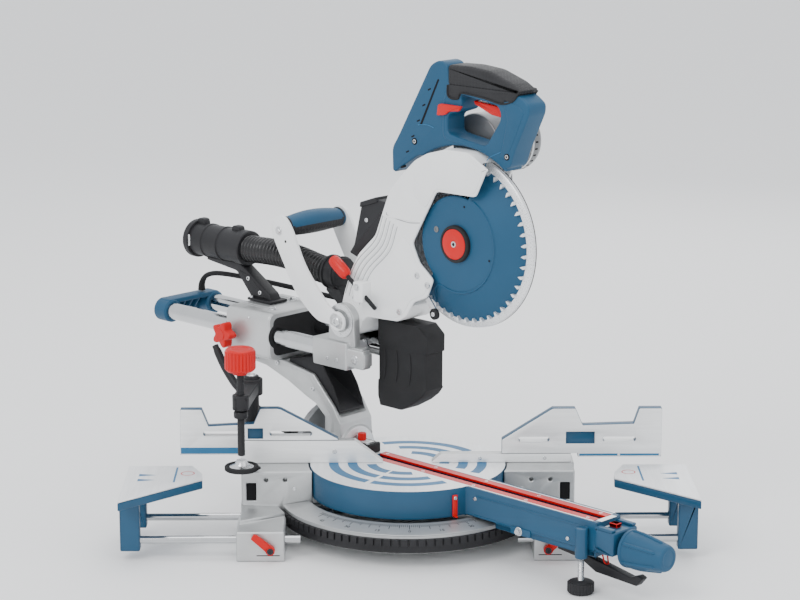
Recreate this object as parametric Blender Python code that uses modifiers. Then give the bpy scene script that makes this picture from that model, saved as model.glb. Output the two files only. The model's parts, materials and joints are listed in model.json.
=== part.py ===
"""Sliding mitre saw with extension supports, drawn at a 45 degree mitre with its head raised.

Sizes are in millimetres and scaled to metres as each shape is made. The base, fences and
supports are laid out in world axes: X right, Y away from the operator, Z up. Everything
carried by the turntable is laid out in saw axes: u along the table arm towards the
operator, v across it, z up, turned by MITRE about the table's centre. The origin is the
mitre axis at the level that the saw stands on.
"""

import math

import bmesh
import bpy
from mathutils import Matrix, Vector

MM = 0.001
GAP = 0.3
WELD = 0.000003

# Driving dimensions
MITRE = -45.0
TABLE = 92.0
DISC_R = 130.0
DISC_THICK = 37.7
ARM_HALF = 24.0
ARM_END = 345.0
WING_IN = 137.0
WING_OUT = 219.0
RING_R = 168.0
TUBE_Z = 26.0
TUBE_YS = (-120.0, -24.0)
FENCE_DEEP = 14.0
RAIL_V = 40.0
RAIL_Z = TABLE + 145.0
RAIL_R = 12.0
PIVOT_U = -76.0
PIVOT_Z = TABLE + 190.0
BLADE_U = 109.0
BLADE_Z = TABLE + 316.0
BLADE_R = 108.0
GUARD_R = 111.2
PORT_Z = TABLE + 247.0

BLUE = (0.040, 0.156, 0.283)
RED = (0.78, 0.030, 0.022)
BLACK = (0.022, 0.022, 0.024)
WHITE = (0.78, 0.80, 0.80)
SILVER = (0.62, 0.64, 0.66)
STEEL = (0.70, 0.71, 0.72)
GREY = (0.34, 0.36, 0.38)


# ---------------------------------------------------------------- scene and materials

def clear_scene():
    for old in list(bpy.data.objects):
        bpy.data.objects.remove(old, do_unlink=True)


clear_scene()
PARTS = bpy.data.collections.new("mitre_saw")
CUTTERS = bpy.data.collections.new("cutters")
bpy.context.scene.collection.children.link(PARTS)
bpy.context.scene.collection.children.link(CUTTERS)


def paint(name, colour, roughness, metallic=0.0):
    material = bpy.data.materials.new(name)
    material.use_nodes = True
    shader = material.node_tree.nodes["Principled BSDF"]
    shader.inputs["Base Color"].default_value = (*colour, 1.0)
    shader.inputs["Roughness"].default_value = roughness
    shader.inputs["Metallic"].default_value = metallic
    material.diffuse_color = (*colour, 1.0)
    return material


FINISHES = {
    "blue_paint": (BLUE, 0.45, 0.0),
    "blue_plastic": (BLUE, 0.50, 0.0),
    "red_plastic": (RED, 0.40, 0.0),
    "black_plastic": (BLACK, 0.55, 0.0),
    "black_rubber": (BLACK, 0.80, 0.0),
    "white_paint": (WHITE, 0.35, 0.0),
    "cast_aluminium": (SILVER, 0.38, 0.9),
    "machined_aluminium": (SILVER, 0.30, 1.0),
    "chromed_steel": (STEEL, 0.12, 1.0),
    "bright_steel": (STEEL, 0.28, 1.0),
    "grey_plastic": (GREY, 0.50, 0.0),
}


# ---------------------------------------------------------------- shape helpers

def new_object(bm):
    """A raw shape, kept with the cutters until it is made a part."""
    bmesh.ops.remove_doubles(bm, verts=bm.verts, dist=0.00002)
    bmesh.ops.recalc_face_normals(bm, faces=bm.faces)
    mesh = bpy.data.meshes.new("shape")
    bm.to_mesh(mesh)
    bm.free()
    shape = bpy.data.objects.new("shape", mesh)
    CUTTERS.objects.link(shape)
    shape.hide_render = True
    shape.display_type = "WIRE"
    return shape


def block(low, high, edge=0.0, segments=2):
    """A box between two corners, with its edges rounded by edge."""
    low, high = Vector(low), Vector(high)
    bm = bmesh.new()
    bmesh.ops.create_cube(bm, size=1.0)
    size = (high - low) * MM
    bmesh.ops.scale(bm, vec=size, verts=bm.verts)
    bmesh.ops.translate(bm, vec=(low + high) * 0.5 * MM, verts=bm.verts)
    if edge:
        bmesh.ops.bevel(bm, geom=bm.edges[:], offset=edge * MM, segments=segments,
                        profile=0.5, affect="EDGES")
    return new_object(bm)


def rod(start, end, radius, end_radius=None, sides=24):
    """A cylinder or cone between two points."""
    start, end = Vector(start), Vector(end)
    along = end - start
    bm = bmesh.new()
    bmesh.ops.create_cone(
        bm, cap_ends=True, segments=sides, radius1=radius * MM,
        radius2=(radius if end_radius is None else end_radius) * MM,
        depth=along.length * MM)
    turn = along.to_track_quat("Z", "Y").to_matrix().to_4x4()
    bm.transform(Matrix.Translation((start + end) * 0.5 * MM) @ turn)
    return new_object(bm)


def mesh_of_curve(curve, placing):
    """A curve's evaluated surface as a welded mesh object."""
    holder = bpy.data.objects.new("outline", curve)
    CUTTERS.objects.link(holder)
    evaluated = holder.evaluated_get(bpy.context.evaluated_depsgraph_get())
    mesh = bpy.data.meshes.new_from_object(evaluated)
    bm = bmesh.new()
    bm.from_mesh(mesh)
    bm.transform(placing)
    bpy.data.objects.remove(holder, do_unlink=True)
    bpy.data.meshes.remove(mesh)
    return new_object(bm)


PLANES = {
    "xy": Matrix.Identity(4),
    "xz": Matrix(((1, 0, 0, 0), (0, 0, -1, 0), (0, 1, 0, 0), (0, 0, 0, 1))),
    "yz": Matrix(((0, 0, 1, 0), (1, 0, 0, 0), (0, 1, 0, 0), (0, 0, 0, 1))),
}


def plate(outline, plane, low, high):
    """A flat outline in plane xy, xz or yz, thickened from low to high along its normal."""
    curve = bpy.data.curves.new("outline", "CURVE")
    curve.dimensions = "2D"
    curve.fill_mode = "BOTH"
    curve.extrude = (high - low) * 0.5 * MM
    spline = curve.splines.new("POLY")
    spline.points.add(len(outline) - 1)
    for point, (a, b) in zip(spline.points, outline):
        point.co = (a * MM, b * MM, 0.0, 1.0)
    spline.use_cyclic_u = True
    middle = (low + high) * 0.5 * MM
    if plane == "xz":
        middle = -middle
    return mesh_of_curve(curve, PLANES[plane] @ Matrix.Translation((0, 0, middle)))


def tube(points, radius, resolution=2):
    """A round tube along a list of points."""
    curve = bpy.data.curves.new("route", "CURVE")
    curve.dimensions = "3D"
    curve.bevel_depth = radius * MM
    curve.bevel_resolution = resolution
    curve.use_fill_caps = True
    spline = curve.splines.new("POLY")
    spline.points.add(len(points) - 1)
    for point, place in zip(spline.points, points):
        point.co = (*(Vector(place) * MM), 1.0)
    return mesh_of_curve(curve, Matrix.Identity(4))


def turned(profile, start=(0, 0, 0), along=(0, 0, 1), steps=32):
    """A profile of (radius, distance) pairs turned about the line from start along."""
    bm = bmesh.new()
    corners = [bm.verts.new((r * MM, 0.0, t * MM)) for r, t in profile]
    for first, second in zip(corners, corners[1:]):
        bm.edges.new((first, second))
    if profile[0][0] > 0:
        bm.edges.new((corners[-1], corners[0]))
    shape = new_object(bm)
    screw = shape.modifiers.new("turn", "SCREW")
    screw.steps = steps
    screw.render_steps = steps
    screw.use_merge_vertices = True
    screw.merge_threshold = 0.00001
    evaluated = shape.evaluated_get(bpy.context.evaluated_depsgraph_get())
    mesh = bpy.data.meshes.new_from_object(evaluated)
    bpy.data.objects.remove(shape, do_unlink=True)
    bm = bmesh.new()
    bm.from_mesh(mesh)
    turn = Vector(along).to_track_quat("Z", "Y").to_matrix().to_4x4()
    bm.transform(Matrix.Translation(Vector(start) * MM) @ turn)
    return new_object(bm)


def combine(target, tools, operation):
    """Apply one Boolean after another and drop the tools."""
    for tool in tools:
        step = target.modifiers.new(operation, "BOOLEAN")
        step.operation = operation
        step.object = tool
        step.solver = "EXACT"
        bpy.context.view_layer.update()
        evaluated = target.evaluated_get(bpy.context.evaluated_depsgraph_get())
        mesh = bpy.data.meshes.new_from_object(evaluated)
        bm = bmesh.new()
        bm.from_mesh(mesh)
        bmesh.ops.remove_doubles(bm, verts=bm.verts, dist=WELD)
        bmesh.ops.dissolve_degenerate(bm, edges=bm.edges, dist=WELD)
        bm.to_mesh(mesh)
        bm.free()
        target.modifiers.clear()
        old = target.data
        target.data = mesh
        bpy.data.meshes.remove(old)
        bpy.data.objects.remove(tool, do_unlink=True)
    return target


def join(target, *tools):
    return combine(target, tools, "UNION")


def cut(target, *tools):
    return combine(target, tools, "DIFFERENCE")


def keep(target, tool):
    return combine(target, [tool], "INTERSECT")


def arc(centre, radius, start, end, count):
    """Points on a circle from one angle to another, in degrees."""
    points = []
    for i in range(count + 1):
        angle = math.radians(start + (end - start) * i / count)
        points.append((centre[0] + radius * math.cos(angle), centre[1] + radius * math.sin(angle)))
    return points


def mirrored(points, side):
    """An outline with its first coordinate flipped for the left side."""
    flipped = [(side * a, b) for a, b in points]
    return flipped if side > 0 else flipped[::-1]


def side_block(side, low, high, edge=0.0):
    """A box whose X limits are counted outward from the middle."""
    xs = sorted((side * low[0], side * high[0]))
    return block((xs[0], low[1], low[2]), (xs[1], high[1], high[2]), edge)


# ---------------------------------------------------------------- frames on joint axes

def frame(name, pivot, turn=0.0):
    empty = bpy.data.objects.new(name, None)
    PARTS.objects.link(empty)
    empty.matrix_world = Matrix.Rotation(math.radians(turn), 4, "Z") @ Matrix.Translation(
        Vector(pivot) * MM)
    empty["turn"] = turn
    return empty


def part(name, shape, finish, parent):
    """Give a shape its name, finish and parent frame, keeping it where it was drawn."""
    shape.name = name
    shape.data.name = name
    CUTTERS.objects.unlink(shape)
    PARTS.objects.link(shape)
    shape.hide_render = False
    shape.display_type = "TEXTURED"
    if finish not in bpy.data.materials:
        paint(finish, *FINISHES[finish])
    shape.data.materials.clear()
    shape.data.materials.append(bpy.data.materials[finish])
    shape.data.shade_smooth()
    shape.data.set_sharp_from_angle(angle=math.radians(32))
    spin = Matrix.Rotation(math.radians(parent["turn"]), 4, "Z")
    shape.parent = parent
    shape.matrix_parent_inverse = parent.matrix_world.inverted() @ spin
    return shape


# ---------------------------------------------------------------- base

def front_half():
    """The space ahead of the wings, where the mitre scale can be seen."""
    return block((-178, -180, 20), (178, -39.5, 60))


def make_base(home):
    body = turned([(0, 28), (160, 28), (160, 45.7), (RING_R, 45.7), (RING_R, 22), (120, 10),
                   (42, 10), (42, 0), (0, 0)], steps=48)
    for side in (-1, 1):
        wing = side_block(side, (100, -38, 14), (WING_OUT, 24, TABLE), 1.0)
        cut(wing, rod((0, 0, 46), (0, 0, 110), DISC_R + 1.6, sides=64),
            rod((0, 0, 28.2), (0, 0, 46.5), 160.0, sides=48))
        deck = plate(mirrored([(WING_IN, -36), (WING_OUT, -36), (WING_OUT, -104),
                               (WING_IN, -54)], side), "xy", 37, 45.5)
        foot = side_block(side, (160, -134, 0), (222, -60, 40), 1.5)
        cut(deck, rod((0, 0, 30), (0, 0, 60), RING_R + 7.5, sides=48))
        cut(foot, rod((0, 0, 30), (0, 0, 60), RING_R + 7.5, sides=48))
        heel = side_block(side, (166.5, 11, 0), (223, 80, 33), 1.5)
        socket = side_block(side, (196, 12, 30), (222, 50, TABLE - 4), 1.0)
        join(body, wing, deck, foot, heel, socket)
        tunnels = [rod((side * 88, y, TUBE_Z), (side * 235, y, TUBE_Z), 5.7, sides=16)
                   for y in TUBE_YS]
        pocket = side_block(side, (200, -50, 52), (213, -22, 76))
        holes = [rod((side * x, -50, 80), (side * x, -26, 80), 3.0, sides=12) for x in (187, 162)]
        cut(body, *tunnels, pocket, *holes)
    part("base_casting", body, "cast_aluminium", home)

    ring = turned([(135.5, 52), (170, 47), (170, 46), (135.5, 46)], steps=48)
    part("mitre_scale", keep(ring, front_half()), "machined_aluminium", home)
    teeth = turned([(168.6, 42), (174, 42), (174, 33), (168.6, 33)], steps=48)
    part("detent_plate", keep(teeth, front_half()), "black_plastic", home)

    left = [(-222, TABLE + GAP), (-33, TABLE + GAP), (-33, TABLE + 2), (-70, TABLE + 31),
            (-222, TABLE + 31)]
    part("fixed_fence_left", plate(left, "xz", 0, FENCE_DEEP), "machined_aluminium", home)
    right = [(32, TABLE + GAP), (217, TABLE + GAP), (217, TABLE + 12), (44, TABLE + 12),
             (32, TABLE + 2)]
    part("fixed_fence_right", plate(right, "xz", 0, FENCE_DEEP), "machined_aluminium", home)


def slot_hole(left, right, z, half):
    """A cutter for a slot with round ends through a fence."""
    outline = arc((right, z), half, -90, 90, 6) + arc((left, z), half, 90, 270, 6)
    return plate(outline, "xz", -5, FENCE_DEEP + 5)


def make_sliding_fences():
    left_frame = frame("fence_left_frame", (-200, 0, TABLE + 40))
    z = TABLE
    outline = [(-302, z + 12), (-222.4, z + 12), (-222.4, z + 31.4), (-92, z + 31.4),
               (-92, z + 33), (-168, z + 74), (-172, z + 75), (-195, z + 75), (-204, z + 54),
               (-264, z + 51), (-273, z + 74), (-301, z + 74)]
    fence = plate(outline, "xz", 0, FENCE_DEEP)
    cut(fence, slot_hole(-180, -130, z + 41, 3.5), slot_hole(-268, -222, z + 41, 3.5),
        block((-212, -1, z + 34), (-192, 4, z + 48)))
    part("sliding_fence_left", fence, "machined_aluminium", left_frame)

    right_frame = frame("fence_right_frame", (230, 0, TABLE + 40))
    outline = [(125, z + 12.4), (226, z + 12.4), (226, z + 7.5), (337, z + 7.5), (337, z + 74),
               (307, z + 74), (300, z + 53), (232, z + 51), (222, z + 74), (192, z + 74),
               (125, z + 31.5)]
    fence = plate(outline, "xz", 0, FENCE_DEEP)
    cut(fence, slot_hole(150, 185, z + 32, 3.5), slot_hole(262, 300, z + 32, 3.5),
        block((210, -1, z + 26), (248, 4, z + 42)))
    part("sliding_fence_right", fence, "machined_aluminium", right_frame)


def make_extension(side, word):
    home = frame(f"extension_{word}_frame", (side * 320, -70, TUBE_Z))
    outline = mirrored([(369, -168), (369, -10), (285, -10), (270, -46), (268, -72)], side)
    body = plate(outline, "xy", TABLE - 13, TABLE - 2.3)
    spans = {"front": (-128, -112), "rear": (-32, -16)}
    for y_low, y_high in spans.values():
        leg = side_block(side, (346, y_low, 13), (371, y_high, TABLE - 8), 1.0)
        y = (y_low + y_high) / 2
        join(body, leg)
        cut(body, rod((side * 340, y, TUBE_Z), (side * 366, y, TUBE_Z), 5.3, sides=16))
    part(f"extension_body_{word}", body, "blue_paint", home)
    top = plate(outline, "xy", TABLE - 2, TABLE)
    part(f"extension_plate_{word}", top, "machined_aluminium", home)
    for place, (y_low, y_high) in spans.items():
        y = (y_low + y_high) / 2
        bar = rod((side * 140, y, TUBE_Z), (side * 365, y, TUBE_Z), 5.0, sides=16)
        part(f"extension_tube_{place}_{word}", bar, "bright_steel", home)

    lever_home = frame(f"extension_lever_{word}_frame", (side * 178, -138, 17))
    hub = rod((side * 178, -143, 17), (side * 178, -134.4, 17), 6, sides=16)
    blade = plate(mirrored([(174, 21), (182, 14), (203, 33), (199, 39), (195, 38)], side),
                  "xz", -142, -137)
    part(f"extension_lever_{word}", join(hub, blade), "red_plastic", lever_home)


def make_hold_down(home):
    x, y = -208.0, 34.0
    spin_x, spin_y = -218.0, -50.0
    low, high = TABLE + 86, TABLE + 108
    post = rod((x, y, TABLE - 4 + GAP), (x, y, high + 4), 10)
    part("clamp_post", post, "black_plastic", home)
    swivel = frame("clamp_swivel_frame", (x, y, high))
    reach = plate([(x - 12, y + 6), (spin_x - 11, spin_y), (spin_x - 8, spin_y - 9),
                   (spin_x + 8, spin_y - 9), (spin_x + 11, spin_y), (x + 12, y + 6)],
                  "xy", low + 4, high - 4)
    arm = join(rod((x, y, low), (x, y, high), 15), reach,
               rod((spin_x, spin_y, low + 2), (spin_x, spin_y, high), 11))
    cut(arm, rod((x, y, low - 2), (x, y, high + 6), 10.4),
        rod((spin_x, spin_y, low - 2), (spin_x, spin_y, high + 6), 5.4))
    part("clamp_arm", arm, "black_plastic", swivel)
    screw_frame = frame("clamp_screw_frame", (spin_x, spin_y, TABLE + 60))
    spindle = rod((spin_x, spin_y, TABLE + 26), (spin_x, spin_y, TABLE + 139.7), 5, sides=16)
    part("clamp_spindle", spindle, "black_plastic", screw_frame)
    wheel = turned([(0, 30), (17, 30), (20.5, 27), (20.5, 3), (18, 0), (0, 0)],
                   (spin_x, spin_y, TABLE + 140), steps=24)
    part("clamp_wheel", wheel, "red_plastic", screw_frame)
    pad = turned([(0, 19.7), (7, 19.7), (8, 9), (21, 7), (22.5, 5), (22.5, 0), (0, 0)],
                 (spin_x, spin_y, TABLE + 6), steps=24)
    part("clamp_foot", pad, "bright_steel", screw_frame)


# ---------------------------------------------------------------- turntable

def make_turntable(home):
    bottom = TABLE - DISC_THICK
    disc = rod((0, 0, bottom), (0, 0, TABLE), DISC_R, sides=64)
    join(disc,
         block((0, -ARM_HALF, bottom), (ARM_END, ARM_HALF, TABLE), 1.0),
         block((178, -ARM_HALF + 0.5, TABLE - 45), (ARM_END - 1, ARM_HALF - 0.5, bottom + 4), 1.0),
         block((330, -ARM_HALF, TABLE - 38), (372, ARM_HALF, TABLE - 8), 2.0),
         rod((328, -31, TABLE - 47), (328, -31, TABLE - 8), 8, sides=16),
         block((-158, -28, TABLE - 45), (-80, 28, TABLE - 36)))
    cut(disc,
        rod((-134, 0, TABLE), (-93.6, 0, TABLE), 35.3, sides=48),
        block((-58, -17.4, TABLE - 3.3), (336, 17.4, TABLE + 5)),
        block((-58, -12, TABLE - 28), (330, 12, TABLE - 2)),
        rod((350, 0, TABLE - 30), (376, 0, TABLE - 30), 7.6, sides=16),
        rod((328, -31, 30), (328, -31, TABLE - 14), 4.6, sides=12))
    part("turntable", disc, "blue_paint", home)
    for word, side in (("near", -1), ("far", 1)):
        vs = sorted((side * 6.0, side * 17.0))
        strip = block((-57.6, vs[0], TABLE - 3), (335.6, vs[1], TABLE - 0.2))
        part(f"kerf_insert_{word}", strip, "red_plastic", home)
    pointer = arc((0, 0), DISC_R + 0.3, -20, -17, 3) + arc((0, 0), DISC_R + 3, -17, -20, 3)
    part("mitre_pointer", plate(pointer, "xy", TABLE - 36, TABLE - 8), "red_plastic", home)
    quadrant = plate(arc((0, TABLE), 56, -39.6, 219.6, 28), "yz", -158, -148)
    cut(quadrant, rod((-160, 0, TABLE), (-146, 0, TABLE), 8.4, sides=24))
    part("bevel_quadrant", quadrant, "grey_plastic", home)
    part("kerf_pointer_block", block((-92.5, -12, TABLE + GAP), (-62, 12, TABLE + 14), 1.5),
         "black_plastic", home)


def make_turntable_controls():
    stop_frame = frame("bevel_stop_frame", (-86, 0, TABLE + 20), MITRE)
    knob = turned([(0, 11), (5, 11), (6, 9), (6, 0), (0, 0)], (-86, 0, TABLE + 14.3), steps=16)
    part("bevel_stop_knob", knob, "red_plastic", stop_frame)

    knob_frame = frame("mitre_knob_frame", (400, 0, TABLE - 30), MITRE)
    knob = turned([(0, 88), (14, 88), (17, 85), (21, 60), (24, 40), (23, 26), (20, 24), (7, 24),
                   (7, 0), (0, 0)], (352, 0, TABLE - 30), (1, 0, 0), 24)
    part("mitre_lock_knob", knob, "blue_plastic", knob_frame)

    lever_frame = frame("detent_lever_frame", (330, 0, 28), MITRE)
    lever = plate([(268, 37), (305, 33), (330, 21), (395, 18), (404, 29), (397, 32), (385, 27),
                   (322, 38), (300, 46), (268, 46)], "xz", -6, 6)
    part("detent_lever", lever, "black_plastic", lever_frame)

    tab_frame = frame("detent_tab_frame", (356, 0, TABLE - 5), MITRE)
    part("detent_lock_tab", block((350, -5, TABLE - 7.7), (362, 5, TABLE - 2), 0.8),
         "red_plastic", tab_frame)

    screw_frame = frame("anti_tip_frame", (328, -31, 8), MITRE)
    screw = join(rod((328, -31, 8), (328, -31, TABLE - 30), 4, sides=12),
                 rod((328, -31, GAP), (328, -31, 16), 17, sides=24))
    part("anti_tip_screw", screw, "black_plastic", screw_frame)


# ---------------------------------------------------------------- bevel arm

def lifted(points):
    """Outline points counted in height from the table."""
    return [(a, TABLE + b) for a, b in points]


def make_bevel_arm(home):
    outline = lifted([(-97, 5), (-97, 40), (-112, 62), (-150, 100), (-208, 109.7),
                      (-290, 109.7), (-290, 100), (-244, 96), (-200, 82), (-163, 66),
                      (-146, 60), (-128, 45), (-127, 5)])
    channel = lifted([(-90, 48), (-104, 48), (-128, 62), (-163, 80), (-206, 100),
                      (-206, 140), (-90, 140)])
    arm = plate(outline, "xz", -30, 30)
    cut(arm, plate(channel, "xz", -24, 24))
    join(arm, rod((-127.5, 0, TABLE), (-95, 0, TABLE), 33.5, sides=48),
         rod((-163, 0, TABLE), (-120, 0, TABLE), 8, sides=24))
    part("bevel_arm", arm, "cast_aluminium", home)

    trough = plate(lifted([(-105, 52), (-109, 66), (-118, 85), (-147, 125), (-203, 112),
                           (-203, 102.5), (-163, 82.5), (-129, 66)]), "xz", -23.5, 23.5)
    cut(trough, plate(lifted([(-95, 54.5), (-107, 55.5), (-130, 69.5), (-163, 85.5),
                              (-200, 104), (-200, 140), (-95, 140)]), "xz", -21, 21))
    part("chip_deflector", trough, "black_plastic", home)

    housing = block((-296, -56, TABLE + 110), (-208, 56, TABLE + 178), 9, 3)
    cut(housing, *[rod((-300, v, RAIL_Z), (-200, v, RAIL_Z), RAIL_R + 0.6, sides=32)
                   for v in (-RAIL_V, RAIL_V)])
    part("rail_housing", housing, "cast_aluminium", home)

    pipe = turned([(19, 113), (23, 113), (23, 9), (27, 9), (27, 0), (19, 0)],
                  (-419, 0, PORT_Z), (1, 0, 0), 24)
    stand = plate(lifted([(-292, 178.3), (-252, 178.3), (-258, 190), (-318, 226.5),
                          (-388, 226.5), (-388, 221), (-325, 214)]), "xz", -10, 10)
    part("dust_adapter", join(pipe, stand), "black_plastic", home)

    route = [(-305.4, 247), (-292, 247.2), (-270, 248.4), (-245, 248.9), (-220, 247.8),
             (-198, 245.2), (-178, 241.8), (-160, 239.4), (-146.0, 239)]
    hose = tube([(u, 0, TABLE + z) for u, z in route], 19, 3)
    part("dust_hose", hose, "black_rubber", home)


def make_bevel_controls():
    star_frame = frame("slide_lock_frame", (-284, -60, TABLE + 140), MITRE)
    lobes = []
    for i in range(40):
        angle = math.tau * i / 40
        reach = 15 + 3.5 * math.cos(5 * angle)
        lobes.append((-284 + reach * math.cos(angle), TABLE + 140 + reach * math.sin(angle)))
    star = join(plate(lobes, "xz", -78, -62),
                rod((-284, -63, TABLE + 140), (-284, -56.4, TABLE + 140), 6, sides=16))
    part("slide_lock_knob", star, "red_plastic", star_frame)

    lever_frame = frame("bevel_lever_frame", (-170, 0, TABLE), MITRE)
    boss = rod((-178, 0, TABLE), (-163.5, 0, TABLE), 12, sides=24)
    route = [(-171, 0, 2), (-176, -24, 8), (-192, -42, 16), (-222, -53, 34), (-262, -58, 58),
             (-292, -60, 86), (-316, -60, 118)]
    rail = tube([(u, v, TABLE + z) for u, v, z in route], 5)
    part("bevel_lock_lever", join(boss, rail), "black_plastic", lever_frame)


# ---------------------------------------------------------------- slide carriage

def make_slide(home):
    for word, v in (("near", -RAIL_V), ("far", RAIL_V)):
        part(f"slide_rail_{word}", rod((-440, v, RAIL_Z), (-62, v, RAIL_Z), RAIL_R, sides=32),
             "chromed_steel", home)
    cap = block((-452, -52, TABLE + 128), (-425, 52, TABLE + 162), 5, 2)
    cut(cap, *[rod((-440.4, v, RAIL_Z), (-420, v, RAIL_Z), RAIL_R + 0.4, sides=32)
               for v in (-RAIL_V, RAIL_V)])
    part("rail_end_cap", cap, "blue_plastic", home)

    fork = block((-125, -55, TABLE + 134), (-104, 55, TABLE + 162), 2)
    for side in (-1, 1):
        inner, outer = sorted((side * 34.0, side * 55.0))
        eye_in, eye_out = sorted((side * 36.5, side * 48.0))
        tip_in, tip_out = sorted((side * 36.0, side * 52.0))
        join(fork,
             block((-124, inner, TABLE + 125), (-60, outer, TABLE + 162), 2),
             block((-64, tip_in, TABLE + 130), (-32, tip_out, TABLE + 155), 2),
             plate([(-101, TABLE + 157), (-51, TABLE + 157)]
                   + arc((PIVOT_U, PIVOT_Z), 23, -8, 188, 20), "xz", eye_in, eye_out))
    cut(fork, *[rod((-130, v, RAIL_Z), (-61.7, v, RAIL_Z), RAIL_R + 0.4, sides=32)
                for v in (-RAIL_V, RAIL_V)])
    cut(fork, rod((PIVOT_U, -60, PIVOT_Z), (PIVOT_U, 60, PIVOT_Z), 8.4))
    part("carriage_fork", fork, "cast_aluminium", home)

    bracket = plate(lifted([(-121, 162.3), (-104, 162.3), (-104, 196), (-118, 222),
                            (-144, 222), (-144, 214), (-124, 200)]), "xz", -10, 10)
    collar = rod((-145, 0, TABLE + 239), (-118, 0, TABLE + 239), 22, sides=24)
    part("hose_connector", join(bracket, collar), "black_plastic", home)

    route = [(-438, 24, 162.4), (-437, 24, 174), (-430, 25, 185), (-415, 28, 191),
             (-390, 33, 192.5), (-350, 38, 192), (-300, 41, 191.3), (-250, 42, 190.8),
             (-200, 42, 190.4), (-150, 42, 190.1), (-99.9, 42, 190)]
    lead = tube([(u, v, TABLE + z) for u, v, z in route], 4)
    part("power_lead", lead, "black_rubber", home)


# ---------------------------------------------------------------- head

HEAD_OUTLINE = [(-66, 172), (-57, 186), (-45, 197), (12, 200), (27, 209), (40, 230), (64, 240),
                (75, 265), (50, 284), (38, 308), (80, 380), (147, 381), (164, 415),
                (167, 418), (135, 436), (96, 436), (63, 427), (42, 416), (21, 397), (-3, 372),
                (-14, 346), (-29, 309), (-60, 280), (-74, 257), (-86, 227), (-92, 208),
                (-88, 176)]


def about_blade(v_low, v_high, radius, sides=64):
    return rod((BLADE_U, v_low, BLADE_Z), (BLADE_U, v_high, BLADE_Z), radius, sides=sides)


def make_head(home):
    guard = plate(lifted(HEAD_OUTLINE), "xz", -32, 24)
    join(guard, rod((PIVOT_U, -35, PIVOT_Z), (PIVOT_U, 35, PIVOT_Z), 23, sides=32))
    cut(guard, about_blade(-27.5, 19, 118))
    join(guard, block((-54, -50, TABLE + 220), (-36, -31, TABLE + 246), 1.5))
    cut(guard, rod((PIVOT_U, -40, PIVOT_Z), (PIVOT_U, 40, PIVOT_Z), 8.4),
        rod((-75.2, -42, TABLE + 253.7), (-10, -42, TABLE + 208.1), 3.6, sides=12))
    part("upper_guard", guard, "white_paint", home)

    part("chop_pin", rod((PIVOT_U, -51.5, PIVOT_Z), (PIVOT_U, 51.5, PIVOT_Z), 8),
         "bright_steel", home)

    shell = plate(lifted([(-13, 394), (-13, 425), (-2, 441), (43, 518), (55, 538), (70, 545),
                          (89, 539), (120, 540), (154, 537), (191, 525), (221, 502),
                          (221, 491), (197, 441), (190, 420), (181, 415), (156, 417),
                          (141, 412), (108, 430), (68, 428), (34, 420), (-8, 390)]),
                  "xz", -17, 17)
    cut(shell, about_blade(-20, 20, 123.6),
        plate(lifted([(106, 505), (168, 497), (174, 489), (174, 479), (150, 444), (99, 451),
                      (85, 454), (85, 477), (109, 485), (110, 494)]), "xz", -30, 30),
        block((114, -8, TABLE + 486), (175, 8, TABLE + 505)),
        block((84, -30, TABLE + 513), (207, 30, TABLE + 570)))
    part("handle_housing", shell, "blue_plastic", home)
    grip = plate(lifted([(84.4, 513.3), (206.6, 513.3), (206, 518), (191, 527), (154, 539),
                         (120, 542), (88, 541), (84.4, 538)]), "xz", -18, 18)
    part("handle_grip", grip, "black_rubber", home)

    case = []
    case += arc((BLADE_U, BLADE_Z), 34, -172, 8, 14)
    case += arc((95, TABLE + 435), 41, 8, 188, 14)
    motor = join(rod((95, 26, TABLE + 435), (95, 115, TABLE + 435), 41, sides=40),
                 plate(case, "xz", 24.5, 50))
    part("motor_housing", motor, "grey_plastic", home)

    chute = plate(lifted([(-40, 194), (-40, 90), (-33, 74), (0, 74), (30, 92), (49, 112),
                          (52, 150), (30, 195)]), "xz", -18, 18)
    cut(chute, plate(lifted([(-37, 187), (-37, 60), (60, 60), (60, 187)]), "xz", -15.5, 15.5))
    part("dust_chute", chute, "black_rubber", home)

    bow = [(-88, 184), (-66, 180), (-64, 197), (-88, 206), (-118, 235), (-140, 262),
           (-160, 300), (-176, 318), (-196, 314), (-200, 295), (-176, 252), (-152, 216),
           (-116, 188)]
    handle = rod((-180, -54, TABLE + 302), (-180, 54, TABLE + 302), 14, sides=24)
    for v_low in (-57.5, 52.5):
        join(handle, plate(lifted(bow), "xz", v_low, v_low + 5),
             rod((PIVOT_U, v_low, PIVOT_Z), (PIVOT_U, v_low + 5, PIVOT_Z), 13))
    part("carry_handle", handle, "white_paint", home)


def make_head_controls():
    trigger_frame = frame("trigger_frame", (122, 0, TABLE + 497), MITRE)
    trigger = plate(lifted([(120, 498), (165, 494.5), (171, 488), (168, 480), (150, 482),
                            (122, 493)]), "xz", -7, 7)
    part("trigger", trigger, "red_plastic", trigger_frame)

    lock_frame = frame("lock_off_frame", (76, -19, TABLE + 483), MITRE)
    lock = plate(lifted([(70, 475), (84, 477), (91, 482), (108, 484), (113, 491), (77, 491),
                         (72, 489)]), "xz", -21, -17.3)
    part("lock_off_lever", lock, "red_plastic", lock_frame)

    stop_frame = frame("depth_stop_frame", (-45, -42, TABLE + 233), MITRE)
    stop = join(rod((-70, -42, TABLE + 250), (-18, -42, TABLE + 213.7), 3, sides=12),
                rod((-98, -42, TABLE + 269.5), (-68, -42, TABLE + 248.6), 8, sides=20))
    part("depth_stop_screw", stop, "red_plastic", stop_frame)


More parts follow.
